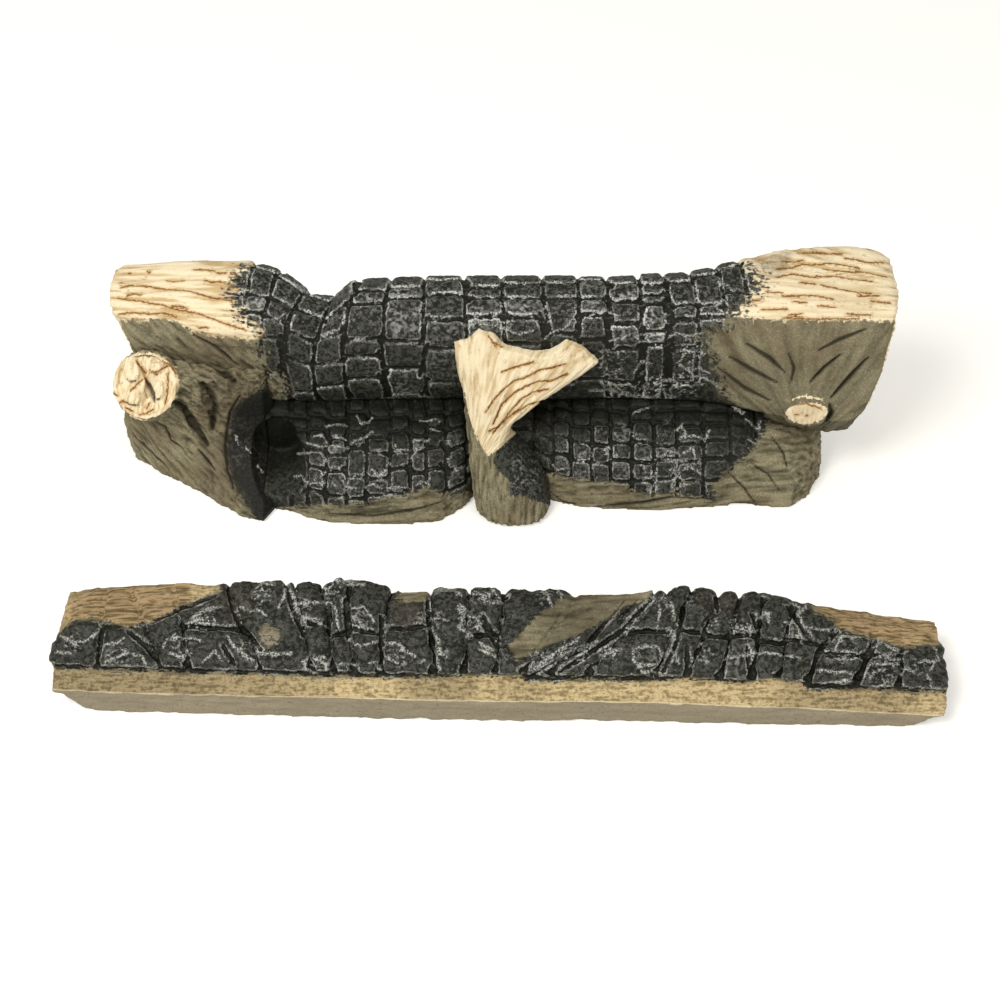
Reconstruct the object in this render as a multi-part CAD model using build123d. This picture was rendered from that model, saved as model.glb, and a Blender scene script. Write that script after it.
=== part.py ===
from build123d import *
import math
import os

# Gas log set: two loose units. The rear unit is an upper log bedded on a
# half-round lower log, with a flared leg under its left end and a forked
# branch leaning on both. The front log lies by itself. All of them are
# refractory castings. Lengths are in millimetres, +Z is up, +Y is the back
# and the origin is on the ground under the middle of the lower log.

# Overall layout
bed_height = 50.0
back_plane = 60.0
bedding_gap = 0.3
cut_overrun = 40.0
branch_sides = 16
seat_sides = 96

# Upper log
upper_log_length = 487.0
upper_log_depth = 60.0
upper_log_height = 66.0
upper_log_bed_overhang = 14.0
upper_log_bed_stop = 40.0
upper_check_width = 4.6
upper_check_depth = 2.2
upper_check_turn_share = 0.011
upper_split_share = 0.35
bark_slit_width = 5.0
bark_slit_depth = 4.0

# Lower log
lower_log_length = 358.0
lower_log_right_end = 208.0
lower_log_reach = 56.0
lower_log_crown = 52.0
lower_log_axis_y = 30.0
lower_check_width = 4.2
lower_check_depth = 2.0
lower_check_turn_share = 0.0055
lower_log_left_end = lower_log_right_end - lower_log_length

# Flared leg under the left end
leg_width = 97.0
leg_depth = 72.0
leg_height = 80.0
leg_flare = 45.0

# Cut branch stub on the leg
stub_radius = 21.5
stub_root_radius = 24.0
stub_length = 26.0
stub_overhang = 72.0
stub_inset = 6.0
stub_drop = 6.0
stub_turn = -16.0
stub_tilt = 40.0
stub_rim = 2.6
stub_dish = 2.2
stub_lobe_height = 3.4
stub_lobe_crown_share = 0.62
stub_heart_depth = 4.0
lobe_sides = 10

# Forked branch
fork_height = 110.0
fork_foot_width = 47.0
fork_foot_reach = 57.0
fork_squareness = 2.6
fork_groove_depth = 1.5
fork_groove_turn_share = 0.012

# Oval knot at the right end of the upper log
knot_setback = 51.5
knot_rise = 9.5
knot_reach_share = 0.308
knot_width = 29.0
knot_height = 21.0
knot_root = 14.0
knot_groove_width = 3.0
knot_groove_depth = 4.5
knot_dimple_radius = 1.6
knot_dimple_depth = 2.5
knot_dimple_pitch = 8.0

# Burnt hollow between the leg and the lower log
hollow_overlap = 8.0
hollow_z = 30.0
hollow_mouth_radius = 28.0
hollow_mouth_y = -75.0
hollow_end_radius = 15.0
hollow_end_y = -2.0

# Front log
front_log_length = 508.0
front_log_depth = 62.0
front_log_height = 51.0
front_log_y = -179.0
front_log_yaw = -1.65
front_face_height = 18.0
front_shelf_width = 11.0
front_shelf_rise = 7.0
front_char_step = 3.0
front_end_chamfer = 18.0
front_end_tuck = 4.0
front_end_rise = 12.0
front_back_share = 0.60
front_crack_width = 4.6
front_crack_depth = 3.2
front_plate_lift = 1.4
front_cross_share = 0.14
front_plain_cross_share = 0.50
front_dent_share = 0.7

# Steel dowels between the castings
dowel_radius = 4.0
dowel_length = 40.0
dowel_clearance = 0.15
dowel_end_gap = 0.5
upper_dowel_spacing = 200.0
branch_dowel_radius = 3.0
branch_dowel_length = 24.0
fork_dowel_x = -3.0
fork_low_dowel_z = 20.0
fork_high_dowel_rise = 22.0
fork_low_dowel_y = -15.0
fork_high_dowel_y = 1.0
leg_dowel_y = 32.0
leg_dowel_z = 24.0

# Steel reinforcing rods cast into the logs
rod_radius = 3.0
rod_clearance = 0.2
upper_rod_length = 400.0
lower_rod_length = 260.0
front_rod_length = 430.0
upper_rod_rise = 34.0
lower_rod_z = 19.0
lower_rod_x = 28.0
front_rod_z = 20.0

# Stations along the upper log, left to right: place along the length, front,
# back, underside and top as shares of its depth and height, then how far the
# back stands above the front, how far the foot stands forward of the top, and
# how square the section is.
upper_log_shares = (
    (-0.500, 0.50, 0.98, 0.74, 1.02, 0.10, 0.00, 3.5),
    (-0.487, 0.38, 1.03, 0.56, 1.05, 0.14, 0.00, 3.5),
    (-0.470, 0.28, 1.05, 0.16, 1.06, 0.15, 0.02, 3.5),
    (-0.430, 0.20, 1.07, 0.06, 1.07, 0.16, 0.04, 3.6),
    (-0.380, 0.12, 1.08, -0.02, 1.09, 0.16, 0.04, 3.6),
    (-0.324, 0.05, 1.08, -0.08, 1.11, 0.15, 0.04, 3.4),
    (-0.290, 0.03, 1.06, -0.12, 1.07, 0.12, 0.02, 3.0),
    (-0.262, 0.02, 1.01, -0.12, 0.97, 0.07, 0.00, 2.8),
    (-0.246, 0.01, 0.99, -0.12, 0.85, 0.04, 0.00, 2.6),
    (-0.220, 0.00, 0.98, -0.12, 0.82, 0.03, 0.00, 2.6),
    (-0.204, 0.00, 1.00, -0.12, 0.90, 0.02, 0.00, 2.6),
    (-0.194, 0.00, 1.02, -0.12, 1.04, 0.02, 0.00, 2.6),
    (-0.080, 0.01, 1.03, -0.12, 1.06, 0.02, 0.00, 2.6),
    (0.030, 0.00, 1.03, -0.12, 1.07, 0.02, 0.00, 2.6),
    (0.140, 0.02, 1.03, -0.12, 1.07, 0.02, 0.00, 2.6),
    (0.235, 0.02, 1.05, -0.12, 1.09, 0.04, 0.02, 2.7),
    (0.290, 0.00, 1.07, -0.12, 1.12, 0.08, 0.06, 3.0),
    (0.330, -0.08, 1.09, -0.08, 1.15, 0.10, 0.12, 3.8),
    (0.375, -0.17, 1.11, -0.14, 1.17, 0.11, 0.16, 4.4),
    (0.425, -0.21, 1.12, -0.17, 1.17, 0.11, 0.17, 5.0),
    (0.452, -0.20, 1.12, -0.15, 1.17, 0.11, 0.16, 5.0),
    (0.474, -0.14, 1.12, 0.06, 1.17, 0.11, 0.14, 4.6),
    (0.486, -0.08, 1.12, 0.40, 1.16, 0.11, 0.12, 4.2),
    (0.496, 0.04, 1.11, 0.78, 1.14, 0.10, 0.04, 4.0),
    (0.506, 0.40, 1.04, 0.96, 1.10, 0.08, 0.00, 3.5),
)

# Turns round the upper log, as shares of a full one that starts at the back
# and rises over the top, where its section has points outside its checks.
upper_back_turn_shares = (0.0, 0.05)
upper_under_turn_shares = (0.605, 0.660, 0.740, 0.840, 0.930)

# Ring checks of the upper log, left to right: place along the length, how far
# the ring leans along it at the front, how deep its low rows are, and the turns
# of the lengthwise checks on its right.
upper_check_shares = (
    (-0.321, -0.008, 0.8, 0.110, 0.200, 0.270, 0.330, 0.400, 0.470),
    (-0.292, -0.014, 0.8, 0.120, 0.210, 0.275, 0.340, 0.410, 0.500),
    (-0.260, -0.018, 1.0, 0.100, 0.200, 0.275, 0.370, 0.460, 0.545),
    (-0.224, -0.016, 1.0, 0.100, 0.200, 0.277, 0.362, 0.457, 0.520),
    (-0.188, -0.012, 1.0, 0.120, 0.247, 0.288, 0.410, 0.463, 0.515),
    (-0.144, -0.006, 1.0, 0.130, 0.238, 0.273, 0.420, 0.497, 0.580),
    (-0.097, 0.000, 0.8, 0.130, 0.205, 0.260, 0.352, 0.445, 0.530),
    (-0.045, 0.003, 0.5, 0.130, 0.242, 0.275, 0.345, 0.440, 0.530),
    (0.003, 0.003, 0.4, 0.120, 0.230, 0.278, 0.345, 0.430, 0.520),
    (0.055, 0.002, 0.4, 0.120, 0.225, 0.278, 0.400, 0.460, 0.530),
    (0.100, 0.000, 0.4, 0.100, 0.215, 0.280, 0.340, 0.420, 0.520),
    (0.137, 0.000, 0.4, 0.100, 0.235, 0.292, 0.370, 0.450, 0.530),
    (0.179, 0.000, 0.5, 0.110, 0.240, 0.272, 0.305, 0.397, 0.440),
    (0.213, 0.002, 0.4, 0.100, 0.240, 0.310, 0.365, 0.450, 0.530),
    (0.248, 0.004, 0.3, 0.100, 0.225, 0.310, 0.355, 0.450, 0.530),
    (0.282, 0.006, 0.2, 0.120, 0.200, 0.270, 0.330, 0.440, 0.550),
    (0.312, 0.006, 0.0, 0.120, 0.200, 0.270, 0.360, 0.460, 0.555),
)

# Stations along the lower log, left to right: place along the length from its
# right end, front reach as a share, and top as a share.
lower_log_shares = (
    (-1.000, 0.70, 1.00),
    (-0.950, 0.80, 1.00),
    (-0.920, 0.90, 1.00),
    (-0.880, 0.98, 1.00),
    (-0.760, 1.00, 1.00),
    (-0.690, 0.96, 1.00),
    (-0.645, 0.72, 1.00),
    (-0.610, 0.36, 1.00),
    (-0.525, 0.36, 1.00),
    (-0.495, 0.60, 1.00),
    (-0.440, 0.72, 1.00),
    (-0.310, 0.78, 1.00),
    (-0.200, 0.72, 1.00),
    (-0.150, 0.68, 0.98),
    (-0.125, 0.70, 0.80),
    (-0.065, 0.74, 0.74),
    (-0.030, 0.55, 0.68),
    (0.000, 0.20, 0.62),
)

# Turns round the lower log outside its checks, with four along its flat bed.
lower_back_turn_shares = (0.02, 0.10, 0.17, 0.21, 0.25, 0.29)
lower_under_turn_shares = (0.50, 0.70, 0.88)

# Ring checks of the lower log, as those of the upper log.
lower_check_shares = (
    (-0.952, 0.000, 1.0, 0.325, 0.345, 0.368, 0.400, 0.445),
    (-0.920, 0.000, 1.0, 0.318, 0.340, 0.372, 0.398, 0.438),
    (-0.887, 0.000, 1.0, 0.322, 0.352, 0.376, 0.402, 0.442),
    (-0.851, 0.000, 1.0, 0.312, 0.342, 0.366, 0.410, 0.446),
    (-0.816, 0.000, 1.0, 0.320, 0.350, 0.374, 0.412, 0.440),
    (-0.775, 0.000, 1.0, 0.316, 0.340, 0.370, 0.396, 0.436),
    (-0.739, 0.000, 1.0, 0.324, 0.348, 0.372, 0.404, 0.448),
    (-0.711, 0.000, 1.0, 0.314, 0.338, 0.366, 0.398, 0.440),
    (-0.677, 0.000, 1.0, 0.320, 0.346, 0.378, 0.410, 0.446),
    (-0.641, 0.000, 0.8, 0.322, 0.350, 0.376, 0.408, 0.440),
    (-0.522, 0.000, 0.8, 0.322, 0.350, 0.376, 0.408, 0.440),
    (-0.487, 0.000, 1.0, 0.316, 0.340, 0.368, 0.400, 0.440),
    (-0.455, 0.000, 1.0, 0.320, 0.348, 0.374, 0.406, 0.446),
    (-0.418, 0.000, 1.0, 0.314, 0.342, 0.378, 0.408, 0.444),
    (-0.385, 0.000, 1.0, 0.322, 0.344, 0.372, 0.402, 0.438),
    (-0.348, 0.000, 1.0, 0.312, 0.336, 0.370, 0.404, 0.436),
    (-0.309, 0.000, 1.0, 0.318, 0.338, 0.376, 0.398, 0.432),
    (-0.267, 0.000, 1.0, 0.316, 0.346, 0.374, 0.404, 0.440),
    (-0.220, 0.000, 0.6, 0.320, 0.342, 0.370, 0.400, 0.440),
    (-0.172, 0.000, 0.4, 0.320, 0.342, 0.370, 0.400, 0.440),
)

# Outline of the leg above its flare, clockwise from the back right corner:
# across and forward as shares of its width and depth, then the share of the
# flare that each point takes at the ground.
leg_outline_shares = (
    (0.00, 0.00, 0.00),
    (-0.74, 0.00, 0.00),
    (-0.95, 0.20, 0.00),
    (-1.00, 0.50, 0.00),
    (-0.92, 0.74, 0.04),
    (-0.74, 0.90, 0.10),
    (-0.52, 0.97, 0.28),
    (-0.32, 0.94, 0.64),
    (-0.15, 0.91, 0.98),
    (0.00, 0.87, 1.14),
    (0.06, 0.78, 1.04),
    (0.00, 0.60, 0.40),
)

# Levels of the leg: height share, the share of the flare left there, and the
# width share.
leg_level_shares = (
    (0.00, 0.98, 0.985),
    (0.05, 1.00, 1.000),
    (0.20, 0.58, 1.000),
    (0.38, 0.16, 0.985),
    (0.58, 0.03, 0.960),
    (0.80, 0.00, 0.900),
    (1.00, 0.00, 0.830),
)

# Slits in the bark of the upper log's right end: the start and the end of each,
# along, forward of the axis plane and up, as shares of its length, depth and height.
upper_slit_shares = (
    ((0.429, -0.182, 0.76), (0.395, -0.238, 0.43)),
    ((0.465, -0.187, 0.71), (0.425, -0.273, 0.25)),
)

# Slits in the leg's bark: across from its right side, forward of its back and
# up, as shares of its width, depth and height.
leg_slit_shares = (
    ((-0.37, 0.96, 0.93), (-0.34, 0.96, 0.59)),
    ((-0.52, 0.96, 0.72), (-0.41, 1.01, 0.38)),
)

# Parts of the logs that the leg and the fork are seated on, as places along them.
leg_upper_seat_shares = (-0.500, -0.250)
leg_lower_seat_shares = (-1.000, -0.850)
fork_upper_seat_shares = (-0.120, 0.180)
fork_lower_seat_shares = (-0.700, -0.400)

# Lobes of the stub's cut face: across and up from its middle, then half width
# and half height, as shares of the dish's radius. Then the hollow heart.
stub_lobe_shares = (
    (-0.50, 0.38, 0.44, 0.48),
    (-0.34, -0.46, 0.46, 0.40),
    (0.30, 0.62, 0.34, 0.28),
    (0.52, -0.06, 0.24, 0.46),
)
stub_heart_share = (0.10, 0.04, 0.16, 0.52)

# Levels of the forked branch: height share, left and right edge as shares of
# the foot's width, front and back as shares of the foot's reach, and how deep
# the grooves are there.
fork_level_shares = (
    (0.00, -0.28, 0.66, -0.98, -0.24, 0.0),
    (0.04, -0.34, 0.70, -1.03, -0.20, 0.2),
    (0.18, -0.38, 0.62, -0.92, -0.12, 0.6),
    (0.29, -0.41, 0.38, -0.72, -0.08, 0.6),
    (0.40, -0.43, 0.10, -0.55, -0.04, 0.3),
    (0.49, -0.45, 0.20, -0.46, 0.04, 0.7),
    (0.62, -0.49, 0.62, -0.36, 0.14, 1.0),
    (0.74, -0.57, 1.10, -0.25, 0.24, 1.0),
    (0.82, -0.62, 1.36, -0.18, 0.30, 1.0),
    (0.93, -0.65, 1.26, -0.08, 0.34, 1.0),
    (1.00, -0.60, 1.02, -0.02, 0.38, 1.0),
)

# Turns round the forked branch, from its right side over the back: plain
# points, then the grooves down its front.
fork_plain_turn_shares = (0.00, 0.06, 0.13, 0.20, 0.30, 0.38, 0.44, 0.50, 0.56)
fork_groove_turn_shares = (0.615, 0.665, 0.745, 0.805, 0.850, 0.890, 0.925)

# Torn upper edge of the fork's fan, left to right: across as a share of the
# foot's width and up as a share of the height.
fork_crown_shares = (
    (-0.70, 0.88),
    (-0.60, 0.93),
    (-0.42, 0.95),
    (-0.28, 0.995),
    (-0.08, 0.98),
    (0.06, 0.92),
    (0.42, 0.88),
    (0.66, 0.885),
    (0.88, 0.945),
    (1.08, 0.91),
    (1.24, 0.84),
    (1.40, 0.76),
)

# Crest of the front log, left to right: place along the length, crest height,
# and how far the crest lies behind the middle, as shares.
front_crest_shares = (
    (-0.500, 0.64, 0.30),
    (-0.484, 0.74, 0.36),
    (-0.460, 0.80, 0.39),
    (-0.400, 0.88, 0.40),
    (-0.325, 0.98, 0.40),
    (-0.311, 0.86, 0.36),
    (-0.300, 0.98, 0.42),
    (-0.245, 0.98, 0.43),
    (-0.235, 0.90, 0.38),
    (-0.226, 0.98, 0.42),
    (-0.213, 0.98, 0.42),
    (-0.204, 0.84, 0.34),
    (-0.195, 0.99, 0.42),
    (-0.137, 0.99, 0.43),
    (-0.126, 0.80, 0.32),
    (-0.112, 0.92, 0.40),
    (-0.098, 0.95, 0.42),
    (-0.090, 0.92, 0.40),
    (-0.081, 0.80, 0.34),
    (-0.070, 0.94, 0.40),
    (-0.046, 0.93, 0.40),
    (-0.037, 0.84, 0.36),
    (-0.028, 0.98, 0.42),
    (-0.010, 0.97, 0.42),
    (0.002, 0.86, 0.37),
    (0.040, 0.87, 0.38),
    (0.052, 0.93, 0.40),
    (0.072, 0.92, 0.40),
    (0.084, 0.82, 0.34),
    (0.100, 0.97, 0.42),
    (0.165, 0.98, 0.42),
    (0.174, 0.92, 0.39),
    (0.182, 0.96, 0.40),
    (0.189, 0.92, 0.38),
    (0.206, 1.07, 0.42),
    (0.215, 0.97, 0.40),
    (0.224, 1.00, 0.42),
    (0.238, 0.97, 0.42),
    (0.246, 0.90, 0.38),
    (0.256, 0.95, 0.41),
    (0.270, 0.89, 0.39),
    (0.284, 0.94, 0.41),
    (0.330, 0.78, 0.38),
    (0.390, 0.66, 0.35),
    (0.460, 0.52, 0.28),
    (0.484, 0.47, 0.26),
    (0.500, 0.43, 0.22),
)

# Cracks between the front log's char plates, left to right: place of the foot
# and of the crest along the length, depth, how much of its lift the plate on
# the right has at its left side, and how far up the slope that plate has a
# cross crack, or zero.
front_crack_shares = (
    (-0.449, -0.453, 0.8, 0.7, 0.45),
    (-0.379, -0.426, 1.0, 0.3, 0.00),
    (-0.345, -0.375, 0.7, 0.8, 0.42),
    (-0.266, -0.311, 1.2, 0.6, 0.00),
    (-0.208, -0.235, 0.9, 0.9, 0.50),
    (-0.183, -0.204, 1.0, 0.7, 0.36),
    (-0.160, -0.175, 0.8, 0.9, 0.40),
    (-0.131, -0.126, 1.2, 0.4, 0.52),
    (-0.072, -0.081, 1.2, 0.8, 0.00),
    (-0.037, -0.037, 0.7, 0.3, 0.40),
    (-0.002, 0.002, 0.8, 0.7, 0.00),
    (0.028, 0.084, 0.9, 0.2, 0.00),
    (0.060, 0.174, 0.8, 0.8, 0.00),
    (0.102, 0.189, 0.8, 0.6, 0.44),
    (0.175, 0.215, 1.1, 0.8, 0.46),
    (0.212, 0.246, 0.8, 0.3, 0.44),
    (0.247, 0.270, 0.7, 0.7, 0.46),
    (0.283, 0.296, 1.0, 0.4, 0.42),
    (0.312, 0.330, 0.7, 0.8, 0.50),
    (0.345, 0.386, 1.1, 0.6, 0.40),
    (0.399, 0.428, 1.0, 0.3, 0.45),
    (0.447, 0.458, 0.7, 0.7, 0.00),
)

# Stations of the front log's plain ends, as places from its middle. Then those
# of the plates' slope: how far back and how far up each point lies between the
# slope's foot and the crest.
front_end_place_shares = (0.500, 0.484, 0.466)
front_slope_shares = (
    (0.0, 0.0),
    (0.2, 0.34),
    (0.5, 0.68),
    (0.8, 0.91),
    (1.0, 1.0),
)

# Front face of the front log: place along the length and how far the face
# stands forward, as a share of the depth.
front_face_shares = (
    (-0.500, 0.50),
    (-0.440, 0.53),
    (-0.250, 0.54),
    (0.000, 0.54),
    (0.120, 0.51),
    (0.300, 0.51),
    (0.500, 0.49),
)

# Height of the front face along the front log.
front_shelf_shares = (
    (-0.500, 0.98),
    (-0.250, 1.04),
    (0.150, 1.04),
    (0.350, 0.88),
    (0.500, 0.58),
)


def polygon(points):
    return Wire.make_polygon([Vector(*point) for point in points], close=True)


def skin(rings):
    """A closed solid of flat facets through rings with the same number of points."""
    faces = [Face(polygon(rings[0])), Face(polygon(rings[-1]))]
    for here, there in zip(rings, rings[1:]):
        for index in range(len(here)):
            after = (index + 1) % len(here)
            faces.append(Face(polygon((here[index], here[after], there[after]))))
            faces.append(Face(polygon((here[index], there[after], there[index]))))
    return Solid(Shell(faces))


def rounded_unit(turn, squareness):
    """The point at a turn round a unit section that is rounder or squarer."""
    angle = 2 * math.pi * turn
    across = math.copysign(abs(math.cos(angle)) ** (2 / squareness), math.cos(angle))
    up = math.copysign(abs(math.sin(angle)) ** (2 / squareness), math.sin(angle))
    return across, up


def between(table, place):
    """The values at a place along a table whose rows start with their place."""
    for left, right in zip(table, table[1:]):
        if place <= right[0]:
            share = (place - left[0]) / (right[0] - left[0])
            return [low + (high - low) * share for low, high in zip(left[1:], right[1:])]
    return table[-1][1:]


def dented(middle, offset, dent):
    """The point at an offset from a middle, drawn back towards it by a dent."""
    point = Vector(*middle) + Vector(*offset) * (1 - dent / Vector(*offset).length)
    return point.X, point.Y, point.Z


def upper_log_point(place, turn, dent):
    """A point of the upper log.

    Fall lifts its back above its front, lean sets its foot before its top.
    """
    front, back, low, high, fall, lean, squareness = between(upper_log_shares, place)
    across, up = rounded_unit(turn, squareness)
    middle = (
        place * upper_log_length,
        (front + back) / 2 * upper_log_depth,
        bed_height + (low + high) / 2 * upper_log_height,
    )
    offset_y = (back - front) / 2 * upper_log_depth * (across + lean * up)
    offset_z = (high - low) / 2 * upper_log_height * (up + fall * across)
    return dented(middle, (0, offset_y, offset_z), dent)


def lower_log_point(place, turn, dent):
    reach, top = between(lower_log_shares, place)
    across, up = rounded_unit(turn, 2)
    middle = (lower_log_right_end + place * lower_log_length, lower_log_axis_y, 0)
    half_depth = lower_log_axis_y + reach * lower_log_reach
    return dented(middle, (0, half_depth * across, top * lower_log_crown * up), dent)


def checked_log(point, checks, plain_places, back_turns, under_turns, half_width, half_turn, depths):
    """A log with ring checks and, between them, lengthwise checks at turns of their own.

    The depths are those of the checks, of the rings behind, and of the splits in plain ends.
    """
    check_depth, back_depth, split_depth = depths
    stations = []
    for before, check in zip((checks[0],) + checks, checks):
        middle = [(left + right) / 2 for left, right in zip(before, check)]
        stations.append((check[0] - half_width, check[1], before[2:], 0))
        stations.append((check[0], check[1], middle[2:], 1))
        stations.append((check[0] + half_width, check[1], check[2:], 0))
    for place in plain_places:
        passed = [check for check in checks if check[0] < place] or checks[:1]
        stations.append((place, 0, passed[-1][2:], 0))
    rings = []
    for place, lean, (low_share, *rows), is_check in sorted(stations):
        charred = checks[0][0] - 2 * half_width < place < checks[-1][0] + 2 * half_width
        marks = [(turn, back_depth * is_check) for turn in back_turns]
        for index, row in enumerate(rows):
            low_row = index >= len(rows) / 2
            depth = check_depth * (low_share if low_row else 1) if charred else split_depth
            side_depth = depth * is_check
            marks += [(row - half_turn, side_depth), (row, depth), (row + half_turn, side_depth)]
        marks += [(turn, 0) for turn in under_turns]
        rings.append([
            point(place - lean * math.cos(2 * math.pi * turn), turn, dent) for turn, dent in marks
        ])
    return skin(rings)


def rod(radius, length, middle, direction):
    """A round bar centred on a point, along a direction."""
    start = Vector(*middle) - Vector(*direction).normalized() * (length / 2)
    return Solid.make_cylinder(radius, length, Plane(start, z_dir=Vector(*direction)))


def slab(low_corner, high_corner):
    sizes = [high - low for low, high in zip(low_corner, high_corner)]
    middle = [(low + high) / 2 for low, high in zip(low_corner, high_corner)]
    return Box(*sizes).moved(Location(tuple(middle)))


def clear_of(piece, neighbour):
    """Cuts a seat for a neighbour, a bedding gap away from its faces."""
    seated = piece - neighbour
    seated = seated - neighbour.moved(Location((0, -bedding_gap, 0)))
    return largest(seated - neighbour.moved(Location((0, 0, -bedding_gap))))


def largest(shape):
    return max(shape.solids(), key=lambda solid: solid.volume)


def plain_log(point, table, ends):
    """A log's form between two places, without its checks."""
    low, high = ends
    places = [low] + [row[0] for row in table if low < row[0] < high] + [high]
    turns = [(index + 1 / 2) / seat_sides for index in range(seat_sides)]
    return skin([[point(place, turn, 0) for turn in turns] for place in places])


def bedded(log):
    """Cuts the upper log's seat on the lower log."""
    return largest(log - slab(
        (lower_log_left_end - upper_log_bed_overhang, -cut_overrun, bed_height - cut_overrun),
        (lower_log_right_end - upper_log_bed_stop, back_plane + cut_overrun, bed_height),
    ))


def half_round(log):
    """Cuts the lower log's base, back and bed flat."""
    return largest(log & slab(
        (lower_log_left_end - cut_overrun, -lower_log_reach - cut_overrun, 0),
        (lower_log_right_end + cut_overrun, back_plane, bed_height),
    ))


def make_upper_log():
    first, last = upper_check_shares[0][0], upper_check_shares[-1][0]
    half_width = upper_check_width / 2 / upper_log_length
    places = [row[0] for row in upper_log_shares]
    plain_places = [place for place in places if not first - 4 * half_width < place < last + 4 * half_width]
    depths = (upper_check_depth, upper_check_depth, upper_check_depth * upper_split_share)
    return bedded(checked_log(
        upper_log_point, upper_check_shares, plain_places, upper_back_turn_shares,
        upper_under_turn_shares, half_width, upper_check_turn_share, depths,
    ))


def make_lower_log():
    half_width = lower_check_width / 2 / lower_log_length
    plain_places = []
    for place, reach, top in lower_log_shares:
        if min(abs(place - check[0]) for check in lower_check_shares) > 2 * half_width:
            plain_places.append(place)
    return half_round(checked_log(
        lower_log_point, lower_check_shares, plain_places, lower_back_turn_shares,
        lower_under_turn_shares, half_width, lower_check_turn_share, (lower_check_depth, 0, 0),
    ))


def slit(start, end):
    """A V-shaped cutter that tapers to both ends of a line on a front face."""
    start, end, out = Vector(*start), Vector(*end), Vector(0, -1, 0)
    side = (end - start).cross(out).normalized() * bark_slit_width
    rings = []
    for along, size in ((0, 1 / 3), (1 / 2, 1), (1, 1 / 3)):
        middle = start + (end - start) * along
        corners = (
            middle + out * bark_slit_depth + side * size,
            middle + out * bark_slit_depth - side * size,
            middle - out * bark_slit_depth * size,
        )
        rings.append([(corner.X, corner.Y, corner.Z) for corner in corners])
    return skin(rings)


def upper_slits():
    return [
        slit(*[
            (along * upper_log_length, forward * upper_log_depth, bed_height + up * upper_log_height)
            for along, forward, up in ends
        ])
        for ends in upper_slit_shares
    ]


def leg_slits():
    return [
        slit(*[
            (lower_log_left_end + across * leg_width, back_plane - forward * leg_depth, up * leg_height)
            for across, forward, up in ends
        ])
        for ends in leg_slit_shares
    ]


def leg_outline(height_share, flare_share, width_share):
    corners = []
    for across, forward, flare in leg_outline_shares:
        reach = flare * flare_share * leg_flare
        corners.append((
            lower_log_left_end + across * width_share * leg_width,
            back_plane - forward * leg_depth - reach,
            height_share * leg_height,
        ))
    return corners


def stub_plane(setback):
    """The cut face of the stub, or a plane behind it."""
    turn, tilt = math.radians(stub_turn), math.radians(stub_tilt)
    out = Vector(
        math.sin(turn) * math.cos(tilt),
        -math.cos(turn) * math.cos(tilt),
        math.sin(tilt),
    )
    centre = Vector(
        lower_log_left_end - stub_overhang,
        back_plane - leg_depth + stub_inset,
        leg_height - stub_drop,
    )
    across = Vector(math.cos(turn), math.sin(turn), 0)
    return Plane(centre - out * setback, x_dir=across, z_dir=out)


def taper(plane, setbacks, radii_x, radii_y, sides):
    """A straight tapered plug: its outlines lie behind or before a plane."""
    rings = []
    for setback, radius_x, radius_y in zip(setbacks, radii_x, radii_y):
        ring = []
        for index in range(sides):
            across, up = rounded_unit((index + 1 / 2) / sides, 2)
            corner = plane.from_local_coords(Vector(across * radius_x, up * radius_y, -setback))
            ring.append((corner.X, corner.Y, corner.Z))
        rings.append(ring)
    return skin(rings)


def stub_plug(face, place_shares, setbacks, crown_share):
    """A lobe or a hollow of the cut face, placed and sized by shares of the dish."""
    dish_radius = stub_radius - stub_rim
    across, up, half_width, half_height = [share * dish_radius for share in place_shares]
    place = Plane(face.from_local_coords(Vector(across, up, 0)), x_dir=face.x_dir, z_dir=face.z_dir)
    radii_x = (half_width, half_width * crown_share)
    radii_y = (half_height, half_height * crown_share)
    return taper(place, setbacks, radii_x, radii_y, lobe_sides)


def make_stub():
    """The cut branch: a tapered stub, dished inside its rim, with lobes round a hollow heart."""
    face = stub_plane(0)
    root_radii = (stub_root_radius, stub_radius, stub_radius)
    stub = taper(face, (stub_length, stub_length / 2, 0), root_radii, root_radii, branch_sides)
    dish_radius = stub_radius - stub_rim
    dish_radii = (dish_radius, dish_radius)
    stub = stub - taper(face, (stub_dish, -stub_dish), dish_radii, dish_radii, branch_sides)
    for lobe in stub_lobe_shares:
        heights = (stub_dish * 2, stub_dish - stub_lobe_height)
        stub = stub + stub_plug(face, lobe, heights, stub_lobe_crown_share)
    heart_depths = (stub_dish + stub_heart_depth, -stub_lobe_height)
    return stub - stub_plug(face, stub_heart_share, heart_depths, 1)


def burnt_hollow():
    middle = (lower_log_left_end + hollow_overlap, hollow_mouth_y, hollow_z)
    face = Plane(middle, x_dir=(1, 0, 0), z_dir=(0, -1, 0))
    radii = (hollow_end_radius, hollow_mouth_radius)
    return taper(face, (hollow_end_y - hollow_mouth_y, 0), radii, radii, branch_sides)


def make_leg():
    leg = skin([leg_outline(*level) for level in leg_level_shares])
    return leg + make_stub()


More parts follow.
